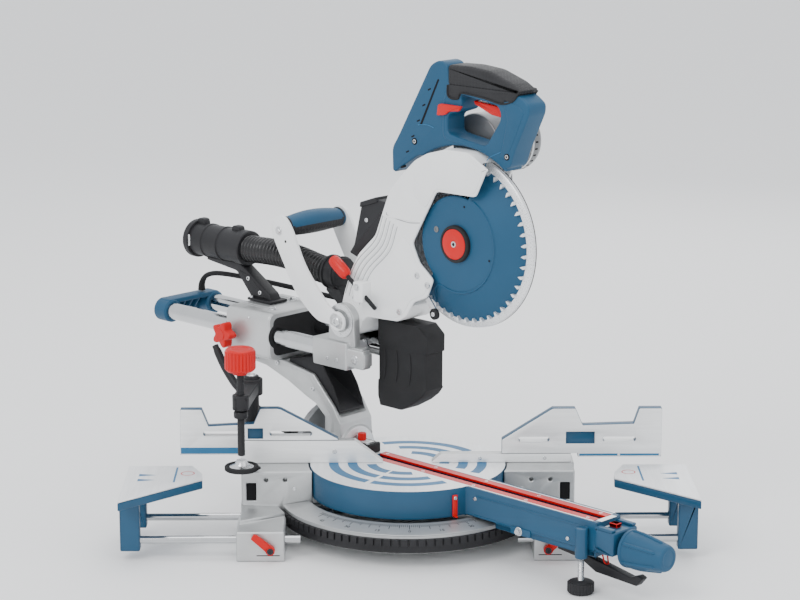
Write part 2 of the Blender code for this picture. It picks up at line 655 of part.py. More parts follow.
def make_lower_guard(home):
    start, end = -133, 72
    dish = turned([(57, 0.3), (57, 3.3), (64, 4.5), (96, 18.5), (109.2, 20.5), (109.2, 26.4),
                   (GUARD_R, 26.4), (GUARD_R, 18.5), (98, 16.3), (66, 1.8), (60, 0)],
                  (BLADE_U, -24, BLADE_Z), (0, 1, 0), 64)
    sector = arc((BLADE_U, BLADE_Z), 130, start, end, 26) + [(BLADE_U, BLADE_Z)]
    keep(dish, plate(sector, "xz", -40, 40))
    shell = turned([(0, 0), (60, 0), (60, 3.4), (0, 3.4)], (BLADE_U, -24, BLADE_Z), (0, 1, 0), 64)
    join(shell, dish)
    part("lower_guard", shell, "blue_plastic", home)
    hub = turned([(0, 6.5), (18, 6.5), (19.5, 5), (20, 3), (24, 3), (24, 0), (0, 0)],
                 (BLADE_U, -24.3, BLADE_Z), (0, -1, 0), 32)
    part("guard_hub", hub, "red_plastic", home)


def make_blade(home):
    count = 40
    outline = []
    for i in range(count):
        for step, radius in ((0.0, BLADE_R), (0.25, BLADE_R - 1.0), (0.45, BLADE_R - 7.0)):
            angle = -math.tau * (i + step) / count
            outline.append((BLADE_U + radius * math.cos(angle),
                            BLADE_Z + radius * math.sin(angle)))
    disc = plate(outline, "xz", -1.2, 1.2)
    cut(disc, about_blade(-3, 3, 13, 24))
    part("saw_blade", disc, "bright_steel", home)
    arbor = turned([(0, 31), (11, 31), (11, 18), (22, 16), (22, 9.5), (12.5, 9.5), (12.5, 6.5),
                    (22, 6.5), (22, 1), (9, 0), (0, 0)], (BLADE_U, -8, BLADE_Z), (0, 1, 0), 24)
    part("arbor_flanges", arbor, "bright_steel", home)


# ---------------------------------------------------------------- the saw

def make_saw():
    base = frame("base_frame", (0, 0, 0))
    make_base(base)
    make_sliding_fences()
    for side, word in ((-1, "left"), (1, "right")):
        make_extension(side, word)
    make_hold_down(base)
    make_turntable(frame("mitre_frame", (0, 0, TABLE), MITRE))
    make_turntable_controls()
    make_bevel_arm(frame("bevel_frame", (0, 0, TABLE), MITRE))
    make_bevel_controls()
    make_slide(frame("slide_frame", (-90, 0, RAIL_Z), MITRE))
    make_head(frame("chop_frame", (PIVOT_U, 0, PIVOT_Z), MITRE))
    make_head_controls()
    make_lower_guard(frame("guard_frame", (BLADE_U, 0, BLADE_Z), MITRE))
    make_blade(frame("blade_frame", (BLADE_U, 0, BLADE_Z), MITRE))


make_saw()
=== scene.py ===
"""Looks for the sliding mitre saw: finishes, rounded edges and surface detail around its CAD frame.

Shapes are written in millimetres. Those carried by the turntable use saw axes (u along the
table arm, v across it with the near side negative, z up) and are turned by SAW; the rest use
world axes. T is the height of the table.
"""
import json
import math

import bmesh
import bpy
from mathutils import Matrix, Vector


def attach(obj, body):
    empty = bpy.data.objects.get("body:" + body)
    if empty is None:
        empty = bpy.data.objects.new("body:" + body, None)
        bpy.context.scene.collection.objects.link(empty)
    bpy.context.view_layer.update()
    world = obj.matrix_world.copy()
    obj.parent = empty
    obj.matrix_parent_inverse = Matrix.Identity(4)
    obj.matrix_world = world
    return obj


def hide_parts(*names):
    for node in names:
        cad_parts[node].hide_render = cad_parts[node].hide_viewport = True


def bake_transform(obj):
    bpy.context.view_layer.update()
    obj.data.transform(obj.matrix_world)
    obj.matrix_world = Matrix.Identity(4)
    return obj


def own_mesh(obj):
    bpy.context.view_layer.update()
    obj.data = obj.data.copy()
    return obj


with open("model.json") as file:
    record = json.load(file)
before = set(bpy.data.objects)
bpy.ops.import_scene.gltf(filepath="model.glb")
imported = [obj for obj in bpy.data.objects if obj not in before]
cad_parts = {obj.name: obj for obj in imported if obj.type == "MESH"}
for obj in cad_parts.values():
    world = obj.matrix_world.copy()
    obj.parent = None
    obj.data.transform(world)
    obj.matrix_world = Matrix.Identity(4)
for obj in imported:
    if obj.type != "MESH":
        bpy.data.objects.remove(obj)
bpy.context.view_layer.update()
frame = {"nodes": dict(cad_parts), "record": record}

MM = 0.001
CAD_SCALE = 1000.0
T = 92.0
SAW = Matrix.Rotation(math.radians(-45.0), 4, "Z")
FLAT = Matrix.Identity(4)

# the mitre scale's inner edge, its height there and its fall outwards
SCALE_EDGE, SCALE_TOP, SCALE_FALL = 135.5, 52.0, 5.0 / 34.5

# directions along u, v and z
FRONT, BACK = (1, 0, 0), (-1, 0, 0)
FAR, NEAR = (0, 1, 0), (0, -1, 0)
UP, DOWN = (0, 0, 1), (0, 0, -1)

# places that several pieces share
RAIL_V, RAIL_Z, RAIL_END = 40, T + 145, -451.4
PIPE_Z = T + 247
SLIDE_LOCK = (-284, T + 140)
BEVEL_LOCK = (-178, 0, T)
MITRE_KNOB = (352, 0, T - 30)
ANTI_TIP = (328, -31)
CLAMP = (-218.0, -50.0)
BLADE = (109.0, T + 316.0)
PIVOT = (-76.0, T + 190.0)
MOTOR = (95.0, T + 435.0)
GUARD_NEAR, GUARD_FAR = -31.8, 23.8
HUB = (BLADE[0], -24.3, BLADE[1])
BODY_OF = {node: body for body, nodes in frame["record"]["behaviour"]["bodies"].items() for node in nodes}


# ---------------------------------------------------------------- finishes

def finish(name, colour, rough, metal=0.0, grain=900.0, bump=0.1, tint=0.08, spread=0.07,
        stretch=(1.0, 1.0, 1.0), coat=0.0, cells=0.0, patch=14.0):
    """A procedural finish: tinted patches, uneven gloss and a fine grain or dimples."""
    material = bpy.data.materials.new(name)
    material.use_nodes = True
    tree = material.node_tree
    shader = tree.nodes["Principled BSDF"]
    shader.inputs["Metallic"].default_value = metal
    shader.inputs["Coat Weight"].default_value = coat
    shader.inputs["Specular IOR Level"].default_value = 0.5 if metal else 0.26

    def add(kind, **values):
        node = tree.nodes.new(kind)
        for key, value in values.items():
            node.inputs[key].default_value = value
        return node

    def link(out, into):
        tree.links.new(out, into)

    where = add("ShaderNodeTexCoord")
    scaled = add("ShaderNodeMapping", Scale=stretch)
    link(where.outputs["Object"], scaled.inputs["Vector"])
    patches = add("ShaderNodeTexNoise", Scale=patch, Detail=5.0, Roughness=0.6)
    link(scaled.outputs["Vector"], patches.inputs["Vector"])
    ramp = add("ShaderNodeValToRGB")
    low = [c * (1.0 - tint) for c in colour]
    high = [min(1.0, c * (1.0 + tint)) for c in colour]
    ramp.color_ramp.elements[0].position = 0.32
    ramp.color_ramp.elements[0].color = (*low, 1.0)
    ramp.color_ramp.elements[1].position = 0.68
    ramp.color_ramp.elements[1].color = (*high, 1.0)
    link(patches.outputs["Fac"], ramp.inputs["Fac"])
    link(ramp.outputs["Color"], shader.inputs["Base Color"])
    fine = add("ShaderNodeTexNoise", Scale=grain, Detail=3.0, Roughness=0.55)
    link(scaled.outputs["Vector"], fine.inputs["Vector"])
    gloss = add("ShaderNodeMapRange")
    gloss.inputs["From Min"].default_value = 0.3
    gloss.inputs["From Max"].default_value = 0.7
    gloss.inputs["To Min"].default_value = max(0.02, rough - spread)
    gloss.inputs["To Max"].default_value = min(1.0, rough + spread)
    link(fine.outputs["Fac"], gloss.inputs["Value"])
    link(gloss.outputs["Result"], shader.inputs["Roughness"])
    dent = add("ShaderNodeBump", Strength=bump, Distance=0.0006)
    if cells:
        dots = add("ShaderNodeTexVoronoi", Scale=cells, Randomness=0.0)
        link(where.outputs["Object"], dots.inputs["Vector"])
        link(dots.outputs["Distance"], dent.inputs["Height"])
    else:
        link(fine.outputs["Fac"], dent.inputs["Height"])
    link(dent.outputs["Normal"], shader.inputs["Normal"])
    return material


BLUE = (0.014, 0.072, 0.142)
RED = (0.56, 0.003, 0.003)
BLACK = (0.018, 0.018, 0.020)
MATS = {
    "blue_paint": finish("blue_paint", BLUE, 0.42, grain=700, bump=0.12, tint=0.06, coat=0.15),
    "blue_plastic": finish("blue_plastic", BLUE, 0.50, grain=1600, bump=0.18, tint=0.05),
    "blue_line": finish("blue_line", (0.03, 0.15, 0.30), 0.45, grain=1200, bump=0.05, tint=0.08),
    "red_plastic": finish("red_plastic", RED, 0.40, grain=1500, bump=0.12, tint=0.06, coat=0.1),
    "black_plastic": finish("black_plastic", BLACK, 0.48, grain=1500, bump=0.2, tint=0.2),
    "black_rubber": finish("black_rubber", (0.016, 0.016, 0.017), 0.72, grain=2200, bump=0.25,
                           tint=0.25),
    "hose_black": finish("hose_black", (0.014, 0.014, 0.015), 0.28, grain=1500, bump=0.05,
                         tint=0.2, coat=0.4),
    "grip_rubber": finish("grip_rubber", (0.020, 0.020, 0.022), 0.55, cells=260, bump=0.9,
                          tint=0.2),
    "white_paint": finish("white_paint", (0.86, 0.87, 0.87), 0.36, grain=600, bump=0.10,
                          tint=0.03, coat=0.2, metal=0.0),
    "white_trim": finish("rim_metal", (0.80, 0.81, 0.82), 0.30, 0.45, grain=700, bump=0.06,
                         tint=0.04),
    "cast_aluminium": finish("cast_aluminium", (0.55, 0.56, 0.56), 0.42, 0.75, grain=520,
                             bump=0.30, tint=0.07, patch=22),
    "machined": finish("machined_aluminium", (0.88, 0.89, 0.89), 0.42, 0.35, grain=90,
                       bump=0.05, tint=0.05, stretch=(1.0, 16.0, 16.0), spread=0.09),
    "machined_table": finish("machined_table", (0.86, 0.87, 0.88), 0.42, 0.35, grain=110,
                             bump=0.05, tint=0.05, stretch=(14.0, 1.0, 14.0), spread=0.09),
    "chrome": finish("chromed_steel", (0.56, 0.57, 0.58), 0.12, 1.0, grain=300, bump=0.02,
                     tint=0.03, spread=0.04, stretch=(6.0, 6.0, 1.0)),
    "steel": finish("bright_steel", (0.66, 0.67, 0.68), 0.26, 1.0, grain=700, bump=0.08,
                    tint=0.06),
    "blade_steel": finish("blade_steel", (0.62, 0.63, 0.65), 0.24, 1.0, grain=160, bump=0.06,
                          tint=0.10, stretch=(3.0, 3.0, 1.0), spread=0.10),
    "carbide": finish("carbide", (0.34, 0.34, 0.35), 0.30, 1.0, grain=1200, bump=0.1),
    "motor_grey": finish("motor_grey", (0.16, 0.165, 0.17), 0.36, 0.45, grain=900, bump=0.15,
                         tint=0.12, coat=0.2),
    "quadrant_grey": finish("quadrant_grey", (0.30, 0.31, 0.32), 0.45, 0.5, grain=700, bump=0.3,
                            tint=0.15),
    # painted shade: a near-black finish for flat marks that stand for the shade inside holes, slots,
    # vents, pockets and the kerf
    "painted_shade": finish("painted_shade", (0.006, 0.006, 0.007), 0.85, grain=900, bump=0.1, tint=0.2),
    "ink": finish("scale_ink", (0.03, 0.03, 0.035), 0.6, grain=1500, bump=0.05, tint=0.15),
    "clear": finish("clear_window", (0.55, 0.57, 0.58), 0.08, grain=500, bump=0.02, tint=0.05,
                    coat=0.8),
}


# ---------------------------------------------------------------- shape helpers

def tidy_normals(bm):
    bmesh.ops.recalc_face_normals(bm, faces=bm.faces)
    return bm


def bevel(bm, width, segments=2, angle=28.0):
    """Round every edge sharper than angle."""
    limit = math.radians(angle)
    sharp = [e for e in bm.edges if len(e.link_faces) == 2 and e.calc_face_angle(0.0) > limit]
    if sharp and width:
        bmesh.ops.bevel(bm, geom=sharp, offset=width, segments=segments, profile=0.5, affect="EDGES",
            clamp_overlap=False)
    return bm


def block(low, high, edge=0.0, segments=2):
    low, high = Vector(low), Vector(high)
    bm = bmesh.new()
    bmesh.ops.create_cube(bm, size=1.0)
    bmesh.ops.scale(bm, vec=high - low, verts=bm.verts)
    bmesh.ops.translate(bm, vec=(low + high) * 0.5, verts=bm.verts)
    return bevel(bm, edge, segments)


def prism(outline, plane, low, high, edge=0.0, segments=2):
    """An outline in plane xy, xz or yz, thickened from low to high along the third axis."""
    bm = bmesh.new()
    spots = {"xy": lambda a, b, c: (a, b, c), "xz": lambda a, b, c: (a, c, b), "yz": lambda a, b,
        c: (c, a, b),}[plane]
    rings = [[bm.verts.new(spots(a, b, c)) for a, b in outline] for c in (low, high)]
    bm.faces.new(rings[0])
    bm.faces.new(rings[1][::-1])
    for i in range(len(outline)):
        j = (i + 1) % len(outline)
        bm.faces.new((rings[0][i], rings[1][i], rings[1][j], rings[0][j]))
    tidy_normals(bm)
    return bevel(bm, edge, segments)


def lathe(profile, start=(0, 0, 0), along=UP, steps=40):
    """A closed profile of (radius, distance) pairs turned about the line from start along."""
    bm = bmesh.new()
    turn = Vector(along).to_track_quat("Z", "Y").to_matrix()
    start = Vector(start)
    rings = []
    for r, t in profile:
        if r < 1e-6:
            rings.append([bm.verts.new(start + turn @ Vector((0, 0, t)))])
            continue
        rings.append([bm.verts.new(start + turn @ Vector((r * math.cos(math.tau * k / steps),
            r * math.sin(math.tau * k / steps), t))) for k in range(steps)])
    pairs = list(zip(rings, rings[1:]))
    if len(rings[0]) > 1:
        pairs.append((rings[-1], rings[0]))
    for first, second in pairs:
        for k in range(steps):
            m = (k + 1) % steps
            corners = [first[k % len(first)], first[m % len(first)], second[m % len(second)],
                second[k % len(second)]]
            unique = []
            for corner in corners:
                if corner not in unique:
                    unique.append(corner)
            if len(unique) > 2:
                bm.faces.new(unique)
    return tidy_normals(bm)


def cyl(start, end, radius, end_radius=None, sides=32, edge=0.0):
    """A cylinder or cone between two points, with its rims rounded by edge."""
    start, end = Vector(start), Vector(end)
    length = (end - start).length
    last = radius if end_radius is None else end_radius
    profile = [(0, 0), (radius - edge, 0), (radius, edge), (last, length - edge), (last - edge, length),
        (0, length)]
    if not edge:
        profile = [(0, 0), (radius, 0), (last, length), (0, length)]
    return lathe(profile, start, end - start, sides)


def curve(points, count):
    """A smooth path through points, with count steps to each stretch."""
    points = [Vector(p) for p in points]
    held = [points[0] * 2 - points[1]] + points + [points[-1] * 2 - points[-2]]
    path = []
    for i in range(1, len(held) - 2):
        a, b, c, d = held[i - 1:i + 3]
        for k in range(count):
            t = k / count
            spot = (2 * b) + (c - a) * t + (2 * a - 5 * b + 4 * c - d) * t * t
            path.append(0.5 * (spot + (3 * b - a - 3 * c + d) * t ** 3))
    path.append(points[-1])
    return path


def skin(rings, capped=True):
    """Join rings of points that follow each other into one surface."""
    bm = bmesh.new()
    rows = [[bm.verts.new(spot) for spot in ring] for ring in rings]
    for first, second in zip(rows, rows[1:]):
        for k in range(len(first)):
            m = (k + 1) % len(first)
            bm.faces.new((first[k], first[m], second[m], second[k]))
    if capped:
        bm.faces.new(rows[0][::-1])
        bm.faces.new(rows[-1])
    return tidy_normals(bm)


def sweep(path, radius, sides=14):
    """A tube along path; radius is a number or one value for each point."""
    path = [Vector(p) for p in path]
    radii = radius if isinstance(radius, list) else [radius] * len(path)
    normal = None
    rings = []
    for i, spot in enumerate(path):
        ahead = (path[min(i + 1, len(path) - 1)] - path[max(i - 1, 0)]).normalized()
        if normal is None:
            normal = ahead.orthogonal().normalized()
        normal = (normal - ahead * normal.dot(ahead)).normalized()
        other = ahead.cross(normal)
        turns = [math.tau * k / sides for k in range(sides)]
        rings.append([spot + (normal * math.cos(a) + other * math.sin(a)) * radii[i] for a in turns])
    return skin(rings)


def bead(points, v, radius, sides, count=6, tip=None):
    """A bead through (u, height over the table) points at one v, thinner at its ends if tip."""
    path = curve([(u, v, T + z) for u, z in points], count)
    radii = [radius] * len(path)
    if tip:
        radii[0] = radii[-1] = tip
    return sweep(path, radii, sides)


def thread(root, crest, pitch, rise, turns, end):
    """Profile of a threaded rod that closes at end, a (radius, distance) pair."""
    profile = [(0, 0)]
    for k in range(turns):
        profile += [(root, k * pitch), (crest, k * pitch + rise)]
    return profile + [end, (0, end[1])]


def wheel(centre, count, radius):
    """An outline of count points round centre; radius gives the reach of point i at angle a."""
    points = []
    for i in range(count):
        a = math.tau * i / count
        points.append((centre[0] + radius(i, a) * math.cos(a), centre[1] + radius(i, a) * math.sin(a)))
    return points


def arc(centre, radius, start, end, count):
    points = []
    for i in range(count + 1):
        a = math.radians(start + (end - start) * i / count)
        points.append((centre[0] + radius * math.cos(a), centre[1] + radius * math.sin(a)))
    return points


def rounded(outline, radius, steps=4):
    """An outline with each corner cut by a smooth curve of about radius."""
    points = []
    count = len(outline)
    for i in range(count):
        here = Vector(outline[i])
        before, after = Vector(outline[i - 1]), Vector(outline[(i + 1) % count])
        reach = min(radius, (before - here).length * 0.45, (after - here).length * 0.45)
        a = here + (before - here).normalized() * reach
        b = here + (after - here).normalized() * reach
        for k in range(steps + 1):
            t = k / steps
            p = a * (1 - t) ** 2 + here * 2 * t * (1 - t) + b * t * t
            points.append((p.x, p.y))
    return points


def half_of(outline, across, side):
    """The chain of outline points on one side of the line where the first value is across."""
    chain = []
    for i, here in enumerate(outline):
        before = outline[i - 1]
        if (before[0] - across) * (here[0] - across) < 0:
            share = (across - before[0]) / (here[0] - before[0])
            chain.append((across, before[1] + share * (here[1] - before[1])))
        if (here[0] - across) * side > 0:
            chain.append(here)
    ends = [i for i, spot in enumerate(chain) if spot[0] == across]
    first = ends[1] if ends[1] - ends[0] == 1 else ends[0]
    return chain[first:] + chain[:first]


def lift(points):
    return [(a, T + b) for a, b in points]


def plate(points, low, high, corner=0.0, edge=0.0, segments=2, steps=4):
    """A plate from low to high across the saw, through (u, height over the table) points."""
    outline = rounded(lift(points), corner, steps) if corner else lift(points)
    return prism(outline, "xz", low, high, edge, segments)


def spun(shape, centre, angle):
    """A shape turned by angle about the line across the saw through centre (u, z)."""
    shape.transform(Matrix.Translation((centre[0], 0, centre[1])) @ Matrix.Rotation(angle, 4, "Y"))
    return shape


def tilted(shape, degrees):
    """A shape turned about the bevel axis, which lies on the table along the arm."""
    turn = Matrix.Rotation(math.radians(degrees), 4, "X")
    shape.transform(Matrix.Translation((0, 0, T)) @ turn)
    return shape


def minus(target, *tools):
    """Cut tools out of a shape with exact Booleans."""
    for tool in tools:
        holders = []
        for bm in (target, tool):
            mesh = bpy.data.meshes.new("tmp")
            bm.to_mesh(mesh)
            bm.free()
            holder = bpy.data.objects.new("tmp", mesh)
            bpy.context.scene.collection.objects.link(holder)
            holders.append(holder)
        step = holders[0].modifiers.new("cut", "BOOLEAN")
        step.operation = "DIFFERENCE"
        step.solver = "EXACT"
        step.object = holders[1]
        bpy.context.view_layer.update()
        graph = bpy.context.evaluated_depsgraph_get()
        made = bpy.data.meshes.new_from_object(holders[0].evaluated_get(graph))
        target = bmesh.new()
        target.from_mesh(made)
        bmesh.ops.remove_doubles(target, verts=target.verts, dist=0.002)
        bmesh.ops.dissolve_limit(target, angle_limit=math.radians(1.0), verts=target.verts,
            edges=target.edges)
        for holder in holders:
            bpy.data.objects.remove(holder, do_unlink=True)
    return target


def bolt(place, along, r=4.0, h=3.0):
    """A round screw head with a driver hole."""
    return lathe([(0, 0.35 * h), (0.42 * r, 0.35 * h), (0.5 * r, h), (0.82 * r, h), (r, 0.6 * h), (r, 0),
        (0, 0)], place, along, 24)


def hexagon(place, along, r=6.0, h=5.0):
    """A hexagon head on a round washer."""
    head = lathe([(0, h), (0.8 * r, h), (r, 0.8 * h), (r, 1.0), (0, 1.0)], place, along, 6)
    washer = lathe([(0, 1.2), (1.3 * r, 1.2), (1.4 * r, 0.8), (1.4 * r, 0), (0, 0)], place, along, 24)
    return [head, washer]


# ---------------------------------------------------------------- pieces

def piece(name, body, material, shapes, turn=SAW, replaces=(), angle=32.0):
    """One object from one or more shapes, riding on a body if one is given."""
    shapes = shapes if isinstance(shapes, list) else [shapes]
    mesh = bpy.data.meshes.new(name)
    whole = bmesh.new()
    for shape in shapes:
        shape.to_mesh(mesh)
        shape.free()
        whole.from_mesh(mesh)
    whole.transform(turn @ Matrix.Scale(MM, 4))
    whole.to_mesh(mesh)
    whole.free()
    made = bpy.data.objects.new(name, mesh)
    bpy.context.scene.collection.objects.link(made)
    mesh.materials.clear()
    mesh.materials.append(MATS[material])
    mesh.shade_smooth()
    mesh.set_sharp_from_angle(angle=math.radians(angle))
    if body:
        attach(made, body)
    if replaces:
        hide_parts(*replaces)
    return made


def refine(node, material, width=1.0, segments=2, faces=None, angle=28.0):
    """A copy of a CAD node with rounded edges; faces picks a second finish by place."""
    source = frame["nodes"][node].data
    bm = bmesh.new()
    bm.from_mesh(source)
    bm.transform(Matrix.Scale(CAD_SCALE, 4))
    bmesh.ops.remove_doubles(bm, verts=bm.verts, dist=0.01)
    bmesh.ops.dissolve_limit(bm, angle_limit=math.radians(1.0), verts=bm.verts, edges=bm.edges)
    bevel(bm, width, segments, angle)
    made = piece(node + "_look", BODY_OF[node], material, bm, FLAT, (node,), 40.0)
    if faces:
        second, picks = faces
        made.data.materials.append(MATS[second])
        for face in made.data.polygons:
            if picks(face.normal, face.center * CAD_SCALE):
                face.material_index = 1
    return made


def repaint(node, material):
    """A CAD node that keeps its shape and takes a better finish."""
    data = frame["nodes"][node].data
    data.materials.clear()
    data.materials.append(MATS[material])


# ---------------------------------------------------------------- base, fences and supports

def flat_sides(normal, centre):
    """The ground front and back faces of a fence, without the floor of its pocket."""
    return abs(normal.y) > 0.9 and (centre.y < 1.0 or centre.y > 13.0)


def make_base():
    refine("base_casting", "cast_aluminium", 1.4)
    refine("clamp_post", "black_plastic")
    refine("mitre_scale", "cast_aluminium", 0.3, 1)
    ticks = []
    for step in range(-52, 53):
        reach = 153.0 if step % 10 == 0 else 150.0 if step % 5 == 0 else 146.5
        a = math.radians(step - 90.0)
        out, side = Vector((math.cos(a), math.sin(a))), Vector((-math.sin(a), math.cos(a)))
        bm = bmesh.new()
        corners = []
        for lift_by in (-0.3, 0.12):
            for r, s in ((141.0, -1), (141.0, 1), (reach, 1), (reach, -1)):
                spot = out * r + side * s * (0.32 if step % 5 else 0.45)
                z = SCALE_TOP - (r - SCALE_EDGE) * SCALE_FALL + lift_by
                corners.append(bm.verts.new((spot.x, spot.y, z)))
        for quad in ((0, 1, 2, 3), (4, 5, 6, 7), (0, 1, 5, 4), (1, 2, 6, 5), (2, 3, 7, 6), (3, 0, 4, 7)):
            bm.faces.new([corners[i] for i in quad])
        ticks.append(tidy_normals(bm))
    for step in (-45, -30, -15, 0, 15, 30, 45):
        ticks.append(numeral(str(abs(step)), step - 90.0, 159.0))
    piece("mitre_ticks", "base", "ink", ticks, FLAT)

    outline = []
    start, end = 193.4, 346.6
    count = 42
    for i in range(count):
        a = start + (end - start) * i / count
        b = start + (end - start) * (i + 0.72) / count
        c = start + (end - start) * (i + 1) / count
        outline += arc((0, 0), 174.0, a, b, 3) + arc((0, 0), 171.4, b + 0.15, c - 0.15, 1)
    outline += arc((0, 0), 168.6, end, start, 60)
    # painted shade: a black band over the base bowl below the detent ring, standing for the shade there
    piece("ring_shade_skirt", "base", "black_plastic",
        lathe([(168.3, 22.6), (170.2, 24), (170.6, 33.1), (168.3, 33.1)], steps=96), FLAT)
    piece("detent_ring", "base", "black_plastic", prism(outline, "xy", 33.2, 41.8), FLAT,
        ("detent_plate",))
    for node in ("fixed_fence_left", "fixed_fence_right"):
        refine(node, "cast_aluminium", 0.8, 2, ("machined", flat_sides))
    for node in ("sliding_fence_left", "sliding_fence_right"):
        refine(node, "blue_paint", 0.9, 2, ("machined", flat_sides))
    stripe = [block((-301, -0.25, T + 13.5), (-224, 0.4, T + 22), 0.2, 1)]
    piece("fence_stripe_left", "fence_left", "blue_line", stripe, FLAT)
    slots = [block((228, -0.2, T + 9), (279, 0.5, T + 12), 0.2, 1),
        block((282, -0.2, T + 9), (334, 0.5, T + 12), 0.2, 1)]
    piece("fence_stripe_right", "fence_right", "blue_line", slots, FLAT)
    rims = [slot_rim(-180, -130, T + 41), slot_rim(-268, -222, T + 41)]
    piece("fence_slot_rims_left", "fence_left", "machined", rims, FLAT)
    rims = [slot_rim(150, 185, T + 32), slot_rim(262, 300, T + 32)]
    piece("fence_slot_rims_right", "fence_right", "machined", rims, FLAT)
    heads = [bolt((-97, 0.4, T + 16), NEAR, 3.4, 1.2)]
    heads += [bolt((x, 0.4, T + 6), NEAR, 2.4, 0.9) for x in (96, 182)]
    for side in (-1, 1):
        heads.append(bolt((side * 212, 24, T - 20), FAR, 5))
        heads.append(bolt((side * 150, -37.6, 68), NEAR, 2.6, 1.2))
    piece("base_screws", "base", "steel", heads, FLAT)
    # painted shade: dark sheets in the two pockets on the base front and a dark strip along its foot
    pocket_shade = []
    for side in (-1, 1):
        xs = sorted((side * 200.5, side * 212.5))
        pocket_shade.append(block((xs[0], -36, 52.5), (xs[1], -33.5, 75.5), 0.5, 1))
        xs = sorted((side * 166, side * 196))
        pocket_shade.append(block((xs[0], -134.15, 8), (xs[1], -133.6, 9.2)))
    piece("base_pocket_shade", "base", "painted_shade", pocket_shade, FLAT)


def slot_rim(left, right, z):
    """A thin raised lip round a fence slot."""
    outer = arc((right, z), 4.6, -90, 90, 8) + arc((left, z), 4.6, 90, 270, 8)
    inner = arc((right, z), 3.45, -90, 90, 8) + arc((left, z), 3.45, 90, 270, 8)
    rims = ((-0.1, outer), (-0.45, outer), (-0.45, inner), (13.0, inner))
    return skin([[(a, y, b) for a, b in points] for y, points in rims], capped=False)


def numeral(text, angle, radius):
    """Digits lying on the mitre scale, read from outside the ring."""
    data = bpy.data.curves.new("digits", "FONT")
    data.body = text
    data.size = 7.5
    data.extrude = 0.1
    data.align_x = "CENTER"
    data.align_y = "CENTER"
    holder = bpy.data.objects.new("digits", data)
    bpy.context.scene.collection.objects.link(holder)
    bpy.context.view_layer.update()
    graph = bpy.context.evaluated_depsgraph_get()
    mesh = bpy.data.meshes.new_from_object(holder.evaluated_get(graph))
    bpy.data.objects.remove(holder, do_unlink=True)
    bm = bmesh.new()
    bm.from_mesh(mesh)
    a = math.radians(angle)
    slope = Matrix.Rotation(math.atan(SCALE_FALL), 4, "X")
    spot = Vector((radius * math.cos(a), radius * math.sin(a),
        SCALE_TOP - (radius - SCALE_EDGE) * SCALE_FALL + 0.1))
    bm.transform(Matrix.Translation(spot) @ Matrix.Rotation(a + math.pi / 2, 4, "Z") @ slope)
    return bm


def make_extensions():
    for side, word in ((-1, "left"), (1, "right")):
        body = f"extension_{word}"
        refine(f"extension_body_{word}", "blue_paint", 1.3)
        refine(f"extension_plate_{word}", "machined_table", 0.4, 1)
        for place in ("front", "rear"):
            repaint(f"extension_tube_{place}_{word}", "chrome")
        marks = []
        for y in (-52, -74):
            points = [(side * 352, y - 5), (side * 352, y + 5), (side * 330, y)]
            marks.append(prism(points if side > 0 else points[::-1], "xy", T - 0.1, T + 0.12))
        xs = sorted((side * 303.0, side * 305.6))
        marks.append(block((xs[0], -84, T - 0.1), (xs[1], -18, T + 0.12)))
        piece(f"support_marks_{word}", body, "blue_line", marks, FLAT)
        ring = lathe([(9.2, 0), (9.2, 0.16), (7.9, 0.16), (7.9, 0)], (side * 289, -45, T - 0.05))
        piece(f"support_ring_{word}", body, "red_plastic", ring, FLAT)
        ribs = []
        for y in (-110, -85, -60, -34):
            xs = sorted((side * 345.0, side * 366.0))
            ribs.append(block((xs[0], y, 66), (xs[1], y + 2.2, T - 12.6), 0.5, 1))
        ribs.append(prism([(-111.7, T - 13.3), (-32.3, T - 13.3), (-32.3, T - 22), (-111.7, T - 22)],
            "yz", min(side * 346.5, side * 349.5), max(side * 346.5, side * 349.5), 0.6, 1))
        piece(f"support_ribs_{word}", body, "blue_paint", ribs, FLAT)
        screws = [bolt((side * x, y, T - 13.2), DOWN, 3, 2) for x, y in ((300, -60), (330, -90),
            (330, -30))]
        piece(f"support_screws_{word}", body, "steel", screws, FLAT)
        lever = f"extension_lever_{word}"
        refine(lever, "red_plastic", 1.1, 3)
        hub = [lathe([(0, 0.2), (2.0, 0.2), (2.3, 1.4), (3.9, 1.4), (4.3, 0.7), (4.3, 0), (0, 0)],
            (side * 178, -143, 17), NEAR, 24)]
        piece(f"lever_hub_{word}", f"lever_{word}", "ink", hub, FLAT)


